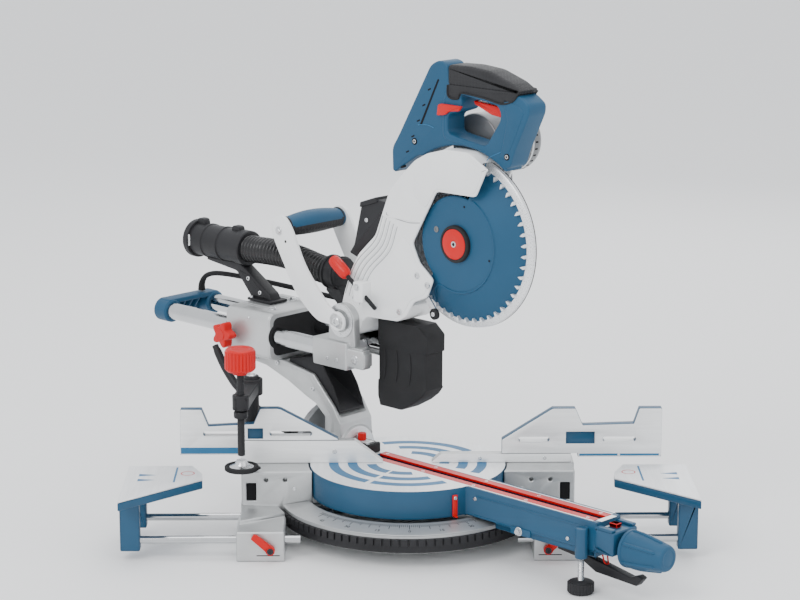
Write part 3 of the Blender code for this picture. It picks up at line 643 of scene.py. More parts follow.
def make_clamp():
    x, y = CLAMP
    refine("clamp_arm", "black_plastic", 1.2)
    profile = thread(4.55, 5.0, 1.9, 0.8, 60, (4.5, 113.6))
    piece("clamp_thread", "clamp_screw", "black_plastic", lathe(profile, (x, y, T + 26), UP, 24), FLAT,
        ("clamp_spindle",), 20)
    ridges = wheel((x, y), 150, lambda i, a: 20.3 if i % 6 < 4 else 18.9)
    top = lathe([(0, 28.6), (11, 28.6), (12.5, 29.8), (17, 29.8), (19.2, 28.2), (19.2, 26), (0, 26)],
        (x, y, T + 140), UP, 48)
    skirt = lathe([(0, 0), (17.0, 0), (19.0, 1.8), (19.0, 4.5), (0, 4.5)], (x, y, T + 140), UP, 48)
    boss = lathe([(0, 0), (9.5, 0), (9.5, 3.4), (8.0, 4.4), (0, 4.4)], (x, y, T + 135.7), UP, 32)
    piece("clamp_hand_wheel", "clamp_screw", "red_plastic",
        [prism(ridges, "xy", T + 143, T + 166.5, 0.5, 1), top, skirt, boss], FLAT, ("clamp_wheel",))
    dome = lathe([(0, 13.6), (6.8, 13.6), (7.6, 11), (9.5, 7.6), (18.2, 4.4), (18.6, 3.6), (0, 3.6)],
        (x, y, T + 6))
    piece("clamp_foot_dome", "clamp_screw", "steel", dome, FLAT, ("clamp_foot",))
    sole = lathe([(0, 0), (21, 0), (22.4, 1.2), (22.4, 5.2), (21.2, 6.4), (18.4, 6.4), (17.6, 5.2),
        (0, 5.2)], (x, y, T + 6))
    lug = cyl((x + 20.5, y - 7, T + 9), (x + 24.6, y - 8.4, T + 12), 1.6, 2.0, 12, 0.4)
    piece("clamp_foot_pad", "clamp_screw", "black_rubber", [sole, lug], FLAT)
    collar = lathe([(5.6, 0), (8.6, 0), (9.4, 1.4), (9.4, 7.4), (8.6, 8.6), (5.6, 8.6)], (x, y, T + 77),
        UP, 32)
    piece("clamp_collar", "clamp_swivel", "black_plastic", collar, FLAT)
    button = [cyl((-208, 24, T + 97), (-208, 16.4, T + 97), 5.2, 4.8, 24, 0.8)]
    piece("clamp_button", "clamp_swivel", "red_plastic", button, FLAT)
    cap = [bolt((-208, 34, T + 111.6), UP, 7, 2.2)]
    piece("clamp_post_cap", "base", "steel", cap, FLAT)


# ---------------------------------------------------------------- turntable

def half_top(side):
    """Outline of the ground table surface on one side of the kerf."""
    edge, boss, reach = 17.7, 35.6, 129.4
    start = math.degrees(math.atan2(-boss, -math.sqrt(reach ** 2 - boss ** 2))) + 360.0
    end = 360.0 - math.degrees(math.asin(19.8 / reach))
    rim = arc((0, 0), reach, start, end, 60)
    points = rim + [(336, -19.8), (336, -edge), (-58.2, -edge), (-58.2, -0.15), (-93.3, -0.15),
        (-93.3, -boss)]
    return [(a, -side * b) for a, b in points]


def make_table():
    refine("turntable", "blue_paint", 1.2)
    top = [prism(half_top(side), "xy", T - 0.1, T + 0.10) for side in (-1, 1)]
    piece("table_top_plate", "table", "machined_table", top)
    bands = []
    for side in (-1, 1):
        for low, high in ((42, 55), (67, 80), (92, 105)):
            for first, last in ((0, 74), (78, 180)):
                a = max(first, math.degrees(math.asin(26.5 / low)))
                b = min(last, 180 - math.degrees(math.asin(40.0 / low)) if low > 60 else 128)
                if b <= a:
                    continue
                outline = arc((0, 0), high, a, b, 30) + arc((0, 0), low, b, a, 30)
                outline = [(p, side * q) for p, q in outline]
                bands.append(prism(outline, "xy", T, T + 0.18))
    piece("table_bands", "table", "blue_line", bands)

    for word, side in (("near", -1), ("far", 1)):
        vs = sorted((side * 6.1, side * 16.9))
        piece(f"kerf_insert_{word}_look", "table", "red_plastic", block((-57.5, vs[0], T - 2.9),
            (335.5, vs[1], T - 0.16)), replaces=(f"kerf_insert_{word}",))
        screws = [bolt((u, side * 12.6, T - 0.85), UP, 2.7, 0.8) for u in (-50, 40, 130, 220, 322)]
        piece(f"kerf_screws_{word}", "table", "steel", screws)
    # painted shade: a dark sheet at the bottom of the kerf slot
    piece("kerf_floor_shade", "table", "painted_shade", block((-57.8, -11.8, T - 27.9), (329.6, 11.8, T - 26)))

    sides = []
    for side in (-1, 1):
        v = side * 24.0
        vs = sorted((v, v + side * 0.7))
        sides.append(block((146, vs[0], T - 10), (326, vs[1], T - 7.4), 0.3, 1))
        sides.append(block((142, vs[0], T - 37), (330, vs[1], T - 34), 0.3, 1))
    sides.append(block((206, -26.6, T - 44.4), (240, 20, T - 34), 2.0))
    piece("arm_side_ribs", "table", "blue_paint", sides)
    heads = hexagon((221, -26.4, T - 38.6), NEAR, 4.2)
    heads.append(bolt((144, -24, T - 13), NEAR, 2.6, 1.4))
    heads.append(bolt((300, -24, T - 30), NEAR, 2.6, 1.4))
    piece("arm_side_bolts", "table", "steel", heads)
    piece("arm_end_plates", "table", "machined",
        [block((337.5, -15, T - 0.1), (346, 15, T + 0.25), 0.1, 1),
        prism([(346, -17), (350, -15), (350, 15), (346, 17)], "xy", T - 7.9, T - 7.5)])
    shoulder = [prism(rounded([(330, T - 8.2), (330, T - 0.2), (336, T - 0.2), (344, T - 4),
        (370, T - 4.5), (370, T - 8.2)], 2), "xz", v, v + 8, 1.0) for v in (-23.6, 15.6)]
    piece("arm_end_shoulders", "table", "blue_paint", shoulder)
    refine("detent_lock_tab", "red_plastic", 0.8)
    refine("mitre_pointer", "red_plastic", 0.7)
    at_pointer = SAW @ Matrix.Rotation(math.radians(-18.5), 4, "Z")
    tip = prism([(130.5, -2.6), (133, -2.6), (139, -0.4), (139, 0.4), (133, 2.6), (130.5, 2.6)], "xy",
        55.2, 56.4)
    piece("mitre_pointer_tip", "table", "red_plastic", tip, at_pointer)
    piece("mitre_pointer_screw", "table", "steel", bolt((133, 0, T - 12), FRONT, 2.4, 1.3), at_pointer)

    refine("bevel_quadrant", "quadrant_grey", 0.8, 1)
    marks = []
    for step in range(-48, 49, 3):
        depth = 7.0 if step % 15 == 0 else 4.5
        marks.append(tilted(block((-158.35, -0.35, 54.5 - depth), (-157.9, 0.35, 54.5)), step))
    piece("bevel_ticks", "table", "machined", marks)
    teeth = []
    for step in range(-120, 121, 10):
        if abs(step) > 61:
            teeth.append(tilted(block((-157, -2.0, 54), (-149, 2.0, 56.2), 0.4, 1), step))
    piece("bevel_ribs", "table", "quadrant_grey", teeth)
    refine("kerf_pointer_block", "black_plastic", 1.6, 3)
    piece("kerf_window", "table", "clear", block((-88, -8, T + 13.6), (-70, 8, T + 14.4), 0.5))
    piece("kerf_block_screws", "table", "steel", [bolt((-66.5, v, T + 13.8), UP, 2.2, 1.0)
        for v in (-8.6, 8.6)])


def make_table_controls():
    knob = wheel((-86, 0), 64, lambda i, a: 5.8 if i % 8 < 5 else 5.0)
    piece("bevel_stop_look", "bevel_stop", "red_plastic", [prism(knob, "xy", T + 15, T + 24.5, 0.5),
        cyl((-86, 0, T + 14.4), (-86, 0, T + 16), 4.0)], replaces=("bevel_stop_knob",))

    axis = FRONT
    profile = [(0, 87.6), (13.2, 87.6), (15.4, 86.6), (16.6, 84.4), (17.6, 80), (20.2, 64), (22.4, 50),
        (23.4, 40), (23.2, 30), (22, 25.6), (19, 24), (7.4, 24), (7.4, 20), (0, 20)]
    body = lathe(profile, MITRE_KNOB, axis, 56)
    dish = lathe([(0, 86.2), (9.6, 86.2), (10.4, 87.9), (12.4, 87.9), (12.8, 87.0), (0, 87.0)],
        MITRE_KNOB, axis)
    ribs = []
    for i in range(6):
        a = math.tau * (i + 0.5) / 6
        path = [(27.5, 22.6), (34, 23.5), (44, 23.2), (54, 22.0), (66, 20.1), (76, 18.4), (80.5, 17.0)]
        points = [(352 + t, (r - 0.4) * math.cos(a), T - 30 + (r - 0.4) * math.sin(a)) for t, r in path]
        tube = sweep(curve(points, 3), [1.0] * 3 + [2.4] * 13 + [1.0] * 3, 10)
        ribs.append(tube)
    ring = lathe([(22.6, 26), (23.9, 27), (23.9, 30.5), (22.8, 31.5)], MITRE_KNOB, axis, 56)
    piece("mitre_knob_look", "mitre_knob", "blue_plastic", [body, dish, ring] + ribs,
        replaces=("mitre_lock_knob",))
    piece("mitre_knob_stem", "mitre_knob", "steel", lathe([(0, 0.3), (6.9, 0.3), (6.9, 23.8), (0, 23.8)],
        MITRE_KNOB, axis, 32))

    refine("detent_lever", "black_plastic", 1.3, 3)
    spring = []
    for v in (-4.2, 4.2):
        path = curve([(337, v, 55.2), (338.5, v, 50), (341, v, 42), (343, v * 0.8, 35.6),
            (346, v * 0.3, 33.4)], 5)
        spring.append(sweep(path, 1.0, 8))
    spring.append(sweep([(346, -1.3, 33.4), (346, 1.3, 33.4)], 1.0, 8))
    piece("detent_spring", "table", "red_plastic", spring)

    turns = thread(3.35, 3.95, 1.5, 0.75, 31, (3.3, 46))
    piece("anti_tip_thread", "anti_tip", "steel", lathe(turns, (*ANTI_TIP, 16), UP, 20),
        replaces=("anti_tip_screw",), angle=20)
    grip = wheel(ANTI_TIP, 96, lambda i, a: 16.9 if i % 4 < 2 else 15.9)
    piece("anti_tip_foot", "anti_tip", "black_plastic", [prism(grip, "xy", 2.4, 14.2, 0.4, 1),
        lathe([(0, 0.3), (14.5, 0.3), (16, 1.6), (16, 4), (0, 4)], (*ANTI_TIP, 0)),
        lathe([(0, 13), (14.8, 13), (14.2, 15.4), (6.4, 16.6), (0, 16.6)], (*ANTI_TIP, 0))])


# ---------------------------------------------------------------- bevel arm, rails and carriage

def scaled(cross, wide, tall):
    """The rail housing's cross section, made smaller about its middle."""
    middle = T + 144
    return [(v * wide, middle + (z - middle) * tall) for v, z in cross]


def make_arm():
    refine("bevel_arm", "cast_aluminium", 2.0, 3)
    webs = []
    for v in (-30.5, 27.5):
        webs.append(plate([(-110, 26), (-110, 44), (-128, 70), (-160, 98), (-206, 107), (-206, 103),
            (-163, 94), (-133, 66), (-116, 42), (-116, 26)], v, v + 3, 3, 1.0))
    piece("arm_webs", "arm", "cast_aluminium", webs)
    screws = []
    for u, z in ((-220, 104), (-262, 104.5), (-150, 80)):
        for v, way in ((-30, -1), (30, 1)):
            screws.append(bolt((u, v, T + z), (0, way, 0), 3.4, 2.0))
    piece("arm_screws", "arm", "steel", screws)
    boss = lathe([(20, 0), (31, 0), (33, 2), (33, 3), (20, 3)], (-94.8, 0, T), BACK, 48)
    piece("arm_pivot_ring", "arm", "machined", boss)
    refine("chip_deflector", "black_plastic", 0.9)

    cross = rounded([(-55.6, T + 111), (-55.6, T + 177.6), (55.6, T + 177.6), (55.6, T + 111)], 13, 6)
    shell = prism(cross, "yz", -294, -210, 2.2, 3)
    flutes = [block((-290, v, T + 176.6), (-214, v + 1.6, T + 178.0), 0.5, 1)
        for v in (-34, -28, 26.4, 32.4)]
    lips = [prism(scaled(cross, 0.99, 0.975), "yz", u, u + 4, 1.2) for u in (-296, -212)]
    piece("rail_housing_look", "arm", "cast_aluminium", [shell] + flutes + lips,
        replaces=("rail_housing",))
    seals = []
    for u in (-296.3, -208.7):
        seals.append(prism(scaled(cross, 0.87, 0.80), "yz", u, u + 1.2, 0.4, 1))
        way = -1 if u < -250 else 1
        base = u if way < 0 else u + 1.2
        for v in (-RAIL_V, RAIL_V):
            seals.append(lathe([(12.3, 0), (17.5, 0), (16.6, 1.0), (12.3, 1.2)],
                (base - way * 0.6, v, RAIL_Z), (way, 0, 0), 36))
    piece("rail_seals", "arm", "black_rubber", seals)
    details = hexagon((-252, 30, T + 177.6), UP, 4.5, 3.6)
    details += hexagon((-228, -30, T + 177.6), UP, 4.5, 3.6)
    details += [bolt((-250, -55.4, T + z), NEAR, 2.6, 1.2) for z in (122, 166)]
    details += [bolt((-250, 55.4, T + z), FAR, 2.6, 1.2) for z in (122, 166)]
    piece("rail_housing_bolts", "arm", "steel", details)

    pipe = lathe([(19.2, 0), (26.2, 0), (27, 0.8), (27, 8), (26.2, 9), (23.3, 9.4), (23.3, 30),
        (24.4, 31), (24.4, 34), (23.3, 35), (23.3, 62), (24.6, 63), (24.6, 66), (23.3, 67), (23.3, 96),
        (24.6, 97), (24.6, 111.4), (23.4, 112.8), (19.2, 112.8)], (-419, 0, PIPE_Z), FRONT, 48)
    lugs = []
    for u, top in ((-403, 30.5), (-330, 29.5)):
        outline = rounded([(u - 9, PIPE_Z + 20), (u - 7, PIPE_Z + top), (u + 7, PIPE_Z + top),
            (u + 9, PIPE_Z + 20)], 4)
        lugs.append(prism(outline, "xz", -5.5, 5.5, 1.2))
    lugs.append(block((-372, -2.0, T + 222.5), (-318, 2.0, T + 226), 0.6, 1))
    stand = plate([(-292, 178.4), (-252, 178.4), (-258, 190), (-318, 226), (-387, 226), (-387, 221),
        (-325, 214)], -9.6, 9.6, 3, 1.8, 3)
    web = [(-286, 184), (-262, 184), (-300, 212), (-318, 216)]
    gussets = [plate(web, v, v + 1.6, 2, 0.5, 1) for v in (-10.4, 8.8)]
    foot = block((-296, -16, T + 178.1), (-248, 16, T + 182), 1.2)
    piece("dust_pipe", "arm", "black_plastic", [pipe, stand, foot] + lugs + gussets,
        replaces=("dust_adapter",))
    piece("dust_pipe_windows", "arm", "machined",
        [prism(rounded([(-413.5, T + 240), (-413.5, T + 256), (-406.5, T + 256), (-406.5, T + 240)], 2),
        "xz", -24.0, -23.2)])
    clip = [bolt((-300, -9.6, T + 207), NEAR, 3.2, 1.6), bolt((-276, -9.6, T + 190), NEAR, 3.2, 1.6),
        bolt((-290, -12.5, T + 182), UP, 3.0, 2.0), bolt((-290, 12.5, T + 182), UP, 3.0, 2.0)]
    piece("dust_pipe_screws", "arm", "steel", clip)

    route = curve([(u, 0, T + z) for u, z in ((-305.6, 247), (-292, 247.2), (-270, 248.4), (-245, 248.9),
        (-220, 247.8), (-198, 245.2), (-178, 241.8), (-160, 239.4), (-146.2, 239))], 32)
    radii = []
    run = 0.0
    for i, spot in enumerate(route):
        run += (spot - route[i - 1]).length if i else 0.0
        swell = 0.5 + 0.5 * math.cos(math.tau * run / 6.4)
        radii.append(15.9 + 3.0 * swell ** 0.7)
    hose = piece("dust_hose_look", None, "hose_black", sweep(route, radii, 32), replaces=("dust_hose",),
        angle=60)
    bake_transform(hose)


def make_arm_controls():
    lobes = wheel(SLIDE_LOCK, 80, lambda i, a: 15 + 3.4 * math.cos(5 * a))
    star = prism(lobes, "xz", -77.6, -63, 1.8, 3)
    dish = lathe([(0, 0), (8.5, 0), (7.4, 2.4), (0, 2.4)], (SLIDE_LOCK[0], -76.2, SLIDE_LOCK[1]), NEAR,
        32)
    collar = lathe([(0, 0), (9.4, 0), (8.4, 3.6), (0, 3.6)], (SLIDE_LOCK[0], -64, SLIDE_LOCK[1]), FAR, 32)
    piece("slide_lock_look", "slide_lock", "red_plastic", [star, dish, collar],
        replaces=("slide_lock_knob",))
    stem = [(SLIDE_LOCK[0], v, SLIDE_LOCK[1]) for v in (-62, -56.5)]
    piece("slide_lock_stem", "slide_lock", "steel", cyl(*stem, 5.2, None, 24, 0.4))
    route = curve([(-171, 0, T + 2), (-176, -24, T + 8), (-192, -42, T + 16), (-222, -53, T + 34),
        (-262, -58, T + 58), (-292, -60, T + 86), (-315, -60, T + 117)], 8)
    radii = [5.0] * len(route)
    for k in range(14):
        radii[-1 - k] = 5.6 if k > 1 else 4.6
    boss = lathe([(0, 0), (10.4, 0), (12, 1.4), (12, 13), (10.4, 14.4), (0, 14.4)], BEVEL_LOCK, FRONT)
    piece("bevel_lock_look", "bevel_lock", "black_plastic", [sweep(route, radii, 20), boss],
        replaces=("bevel_lock_lever",))
    piece("bevel_lock_nut", "bevel_lock", "steel", hexagon(BEVEL_LOCK, BACK, 6.2, 4.6))


def make_carriage():
    for word in ("near", "far"):
        repaint(f"slide_rail_{word}", "chrome")
    lobes = []
    for v in (-RAIL_V, RAIL_V):
        lobes.append(cyl((RAIL_END, v, RAIL_Z), (-425.4, v, RAIL_Z), 16.4, None, 40, 2.2))
    beam = prism(rounded([(-44, T + 129), (-36, T + 161), (36, T + 161), (44, T + 129), (34, T + 133),
        (-34, T + 133)], 6), "yz", -450, -446, 1.0)
    ledge = prism(rounded([(-50, T + 155), (-46, T + 161.6), (46, T + 161.6), (50, T + 155)], 3), "yz",
        -449, -427, 1.2)
    webs = []
    for v in (-26, -13, 0, 13, 26):
        webs.append(plate([(-447, 133), (-447, 157), (-428, 157)], v - 1.1, v + 1.1, 0, 0.5, 1))
    for side in (-1, 1):
        webs.append(prism([(side * 24, T + 157), (side * 40, T + 131), (side * 43, T + 134),
            (side * 28, T + 158)][::side], "yz", -447, -430, 0.8))
    piece("rail_end_cap_look", "slide", "blue_plastic", lobes + [beam, ledge] + webs,
        replaces=("rail_end_cap",))
    piece("rail_end_screws", "slide", "steel", [bolt((RAIL_END, v, RAIL_Z), BACK, 5, 0.6)
        for v in (-RAIL_V, RAIL_V)])

    refine("carriage_fork", "cast_aluminium")
    parts = []
    for side in (-1, 1):
        face = side * 48.0
        parts.append(lathe([(15.5, 0), (21.6, 0), (22.4, 1.0), (22.4, 1.6), (15.5, 1.6)],
            (-76, face, T + 190), (0, side, 0), 48))
        for k in range(6):
            a = math.tau * (k + 0.5) / 6
            spot = Vector((-76 + 18.4 * math.cos(a), face, T + 190 + 18.4 * math.sin(a)))
            parts.append(cyl(spot, spot + Vector((0, side * 2.2, 0)), 1.5, 1.2, 12))
        parts += [bolt((u, side * 55, T + 137), (0, side, 0), 2.8, 1.5) for u in (-96, -78)]
    piece("fork_rings", "slide", "steel", parts)
    lugs = []
    for side in (-1, 1):
        vs = sorted((side * 36.5, side * 51.5))
        lugs.append(block((-34, vs[0], T + 134), (-29.6, vs[1], T + 151), 1.2))
        lugs.append(block((-60, vs[0] + 2, T + 154.4), (-36, vs[1] - 2, T + 157.2), 0.9))
    piece("fork_tips", "slide", "cast_aluminium", lugs)
    tips = []
    for side in (-1, 1):
        tips += hexagon((-47, side * 52, T + 142), (0, side, 0), 4.6, 3.4)
    tips += [bolt((-104, v, T + 148), FRONT, 3.4, 2.0) for v in (-22, 0, 22)]
    piece("fork_bolts", "slide", "steel", tips)

    refine("hose_connector", "black_plastic", 1.2)
    bands = [lathe([(20, 0), (23.2, 0.6), (23.2, 4.4), (20, 5)], (u, 0, T + 239), FRONT)
        for u in (-144, -126)]
    piece("hose_bands", "slide", "black_plastic", bands)
    path = curve([(-438, 24, T + 164), (-437, 24, T + 174), (-430, 25, T + 185), (-415, 28, T + 191),
        (-390, 33, T + 192.5), (-350, 38, T + 192), (-300, 41, T + 191.3), (-250, 42, T + 190.8),
        (-200, 42, T + 190.4), (-150, 42, T + 190.1), (-101, 42, T + 190)], 5)
    lead = sweep(path, 3.6)
    relief = []
    for k in range(9):
        a, b = path[k], path[k + 1]
        relief.append(cyl(a, a + (b - a) * 0.7, 5.6 - 0.2 * k, 5.4 - 0.2 * k, 16, 0.3))
    for k in range(6):
        a, b = path[-1 - k], path[-2 - k]
        relief.append(cyl(a, a + (b - a).normalized() * 3.4, 5.4 - 0.2 * k, None, 16, 0.3))
    piece("power_lead_look", "slide", "black_rubber", [lead] + relief, replaces=("power_lead",))


# ---------------------------------------------------------------- head

GUARD_EDGE = [(-66, 172), (-57, 186), (-45, 197), (12, 200), (27, 209), (40, 230), (64, 240), (75, 265),
    (50, 284), (38, 308), (80, 380), (147, 381), (164, 415), (167, 418), (135, 436), (96, 436), (63, 427),
    (42, 416), (21, 397), (-3, 372), (-14, 346), (-29, 309), (-60, 280), (-74, 257), (-86, 227),
    (-92, 208), (-88, 176)]
WINDOW = [(106, 505), (168, 497), (174, 489), (174, 479), (150, 444), (99, 451), (85, 454), (85, 477),
    (109, 485), (110, 494)]


def about(v_low, v_high, radius, sides=96):
    return cyl((BLADE[0], v_low, BLADE[1]), (BLADE[0], v_high, BLADE[1]), radius, None, sides)


def make_upper_guard():
    outline = rounded(lift(GUARD_EDGE), 5, 3)
    shell = minus(prism(outline, "xz", GUARD_NEAR, GUARD_FAR), about(-27.8, 19.2, 118.0))
    bevel(shell, 1.9, 3, 35)
    hub = lathe([(0, 0), (21.5, 0), (23, 1.5), (23, 68.5), (21.5, 70), (0, 70)],
        (PIVOT[0], -35, PIVOT[1]), FAR, 48)
    bracket = prism(rounded([(-54, -31), (-54, -48), (-50, -50), (-40, -50), (-36, -48), (-36, -31)], 2),
        "xy", T + 220, T + 246, 1.2)
    piece("upper_guard_look", "head", "white_paint", [shell, hub, bracket], replaces=("upper_guard",))
    high = [(44, 410), (60, 424), (96, 432), (132, 432), (160, 415), (146, 385), (80, 384), (62, 356),
        (40, 372)]
    low = [(-52, 200), (8, 204), (22, 212), (36, 233), (60, 243), (70, 263), (46, 281), (34, 306),
        (22, 316), (-18, 262), (-56, 232)]
    raised = [plate(high, -32.8, -31.4, 6, 0.7), plate(low, -32.6, -31.4, 6, 0.7)]
    rear = [(-84, 222), (-72, 252), (-58, 273), (-28, 302), (-14, 336)]
    for k in range(4):
        shift = 6.5 * k
        line = [(u + shift + 3, z - 0.45 * shift) for u, z in rear]
        raised.append(bead(line, GUARD_NEAR, 1.7, 10, tip=0.9))
    raised.append(block((-14, -32.7, T + 336), (44, -31.4, T + 338.4), 0.5, 1))
    piece("guard_panels", "head", "white_paint", raised)
    # grey lines on the guard face: the five beads between the rear ribs are painted shadow; the plate and
    # the last four beads mark panel seams
    shadow_and_seam_lines = [plate([(42, 372), (43.5, 372), (78, 428), (76.5, 428)], -32.05, -31.6)]
    for k in range(5):
        shift = 6.5 * k - 3.2
        line = [(u + shift + 3, z - 0.45 * shift) for u, z in rear]
        shadow_and_seam_lines.append(bead(line, -31.7, 0.55, 6))
    for line in ([(-8, 342), (-4, 338), (30, 334), (52, 336)], [(8, 214), (20, 250), (12, 300)],
            [(96, 431), (92, 412), (70, 380)], [(-26, 206), (-30, 224), (-20, 246)]):
        shadow_and_seam_lines.append(bead(line, GUARD_NEAR, 0.5, 6))
    piece("guard_shadow_and_seam_lines", "head", "quadrant_grey", shadow_and_seam_lines)
    heads = []
    for u, z in ((48, 267), (66, 257), (-28, 214), (16, 214)):
        heads.append(bolt((u, -32.4, T + z), NEAR, 4.2, 2.2))
    for u, z in ((0, 230), (40, 250), (10, 290), (0, 350), (60, 410), (120, 425), (-50, 250)):
        heads.append(bolt((u, GUARD_FAR, T + z), FAR, 3.6, 2.2))
    heads += hexagon((-45, -50, T + 240), NEAR, 3.4, 2.6)
    for side in (-1, 1):
        heads.append(lathe([(0, 0.6), (5, 0.6), (5, 2.2), (8, 2.2), (9, 1.2), (9, 0), (0, 0)],
            (PIVOT[0], side * 35, PIVOT[1]), (0, side, 0), 32))
    piece("head_bolts", "head", "steel", heads)
    rear_ribs = []
    for k in range(5):
        u = -60 + 22 * k
        rear_ribs.append(block((u, 23.4, T + 212), (u + 2.4, 26.2, T + 262 + 9 * k), 0.8, 1))
    rim = lathe([(96, 0), (103, 0), (103, 1.6), (102, 2.4), (97, 2.4), (96, 1.6)],
        (BLADE[0], 23.4, BLADE[1]), FAR, 72)
    away = [v for v in rim.verts if v.co.x > 60 or v.co.z < T + 250]
    bmesh.ops.delete(rim, geom=away, context="VERTS")
    rear_ribs.append(rim)
    piece("guard_rear_ribs", "head", "white_paint", rear_ribs)
    duct = plate([(-95, 274), (-86, 286), (-72, 342), (-44, 352), (-22, 350), (-36, 310), (-62, 284),
        (-76, 268)], -14, 14, 3, 1.8)
    lip = plate([(-74, 338), (-73, 345), (-44, 355), (-41, 349)], -15.4, 15.4, 1.5, 0.8)
    piece("guard_duct", "head", "black_plastic", [duct, lip])
    piece("guard_duct_screw", "head", "steel", bolt((-62, -14, T + 322), NEAR, 3.0, 1.4))
    repaint("chop_pin", "steel")
    link = plate([(54, 242), (62, 242), (80, 222), (76, 215), (70, 216)], -27, -24.6, 2, 0.6)
    piece("guard_link", "head", "steel", link)
    piece("guard_roller", "head", "black_rubber", cyl((75, -31, T + 220), (75, -25.2, T + 220), 7.4, None,
        32, 1.2))
    piece("guard_roller_pin", "head", "steel", bolt((75, -31, T + 220), NEAR, 3.0, 1.3))


def make_handle():
    below = arc(BLADE, 123.8, 53.2, 117.4, 30)
    outer = (rounded(lift([(34, 420), (-12, 391), (-13, 425), (-2, 441), (43, 518), (55, 538), (70, 545),
        (85, 541), (88, 513.5), (204, 513.5), (221, 502), (221, 491), (197, 441), (190, 420)]),
        7) + below)
    window = rounded(lift(WINDOW), 6)
    shell = []
    for side in (-1, 1):
        ring = half_of(outer, 130.0, side) + half_of(window, 130.0, side)[::-1]
        bm = prism(ring, "xz", -16.8, 16.8)
        rims = [e for e in bm.edges if e.calc_face_angle(0.0) > 0.8 and not all(abs(v.co.x - 130.0) < 0.01
            for v in e.verts)]
        bmesh.ops.bevel(bm, geom=rims, offset=2.8, segments=4, profile=0.5, affect="EDGES",
            clamp_overlap=False)
        shell.append(minus(bm, block((113.6, -8.4, T + 486), (175.6, 8.4, T + 506))))
    swell = [(86, 509), (80, 494), (79.4, 480), (79.6, 452), (88, 446.4), (110, 443.4), (150, 438.4)]
    rise = [bead(swell, v, 2.6, 12, tip=1.6) for v in (-14.9, 14.9)]
    brow = plate([(178, 508), (206, 500), (214, 492), (192, 444), (182, 430), (174, 432), (178, 446),
        (186, 480)], -17.5, 17.5, 4, 1.6, 3)
    piece("handle_shell", "head", "blue_plastic", shell + rise + [brow], replaces=("handle_housing",))
    # painted shade: dark marks for the vent openings, the long groove line and the screw recesses on both
    # sides of the handle
    marks = []
    for k in range(6):
        u, z = 60 - 9.6 * k, 512 - 21 * k
        vent = [(u - 9.5, z - 6), (u - 4, z - 3.4), (u - 3, z - 5.4), (u - 8.4, z - 8)]
        for low in (-17.0, 12.0):
            marks.append(plate(vent, low, low + 5.0, 0, 0.3, 1))
    for low, high in ((-17.05, -16.2), (16.2, 17.05)):
        marks.append(plate([(71, 520), (68.6, 521), (37, 459), (40.5, 459)], low, high, 1))
    for side in (-1, 1):
        for u, z in ((28, 437), (186, 435)):
            marks.append(lathe([(0, 0), (3.9, 0), (4.4, 0.5), (4.4, 1.4), (0, 1.4)],
                (u, side * 17.6, T + z), (0, -side, 0), 24))
    piece("handle_vents", "head", "painted_shade", marks)
    screws = [bolt((u, side * 16.4, T + z), (0, side, 0), 3.0, 1.4) for u, z in ((28, 437), (186, 435))
        for side in (-1, 1)]
    piece("handle_screws", "head", "steel", screws)
    seam = []
    for path in ([(34, 459), (50, 460.5), (62, 458)], [(150, 419), (156, 430), (176, 440)]):
        for side in (-1, 1):
            seam.append(bead(path, side * 16.9, 0.5, 6))
    piece("handle_seams", "head", "blue_line", seam)

    core = plate([(84.6, 513.5), (206.4, 513.5), (206, 518), (191, 526.6), (154, 538.6), (120, 541.6),
        (88, 540.6), (84.6, 538)], -17.4, 17.4, 6, 5.2, 4)
    tongue = []
    for side in (-1, 1):
        low, high = sorted((side * 14.0, side * 17.5))
        tongue.append(plate([(85, 516), (85, 503), (92, 498), (104, 499), (110, 508), (150, 505),
            (176, 500), (196, 505), (206, 516)], low, high, 3, 1.0))
    piece("handle_grip_look", "head", "grip_rubber", [core] + tongue, replaces=("handle_grip",))
    loop = [(86, 515), (86, 503), (92, 498.6), (104, 499.6), (110, 507), (150, 504), (176, 500),
        (195, 505), (205, 516)]
    rim = [bead(loop, side * 17.5, 1.2, 8, 5) for side in (-1, 1)]
    piece("handle_grip_rim", "head", "black_rubber", rim)

    piece("trigger_look", "trigger_switch", "red_plastic",
        plate([(120, 497.5), (165, 494.2), (170.5, 488), (168, 480.4), (150, 482.4), (122, 493)], -6.9,
        6.9, 3, 1.8, 3, 3), replaces=("trigger",))
    piece("lock_off_look", "lock_off", "red_plastic",
        plate([(70, 475), (84, 477), (91, 482), (108, 484), (113, 490.6), (77, 490.8), (72, 489)], -21,
        -17.4, 2.2, 1.0, 2, 3), replaces=("lock_off_lever",))


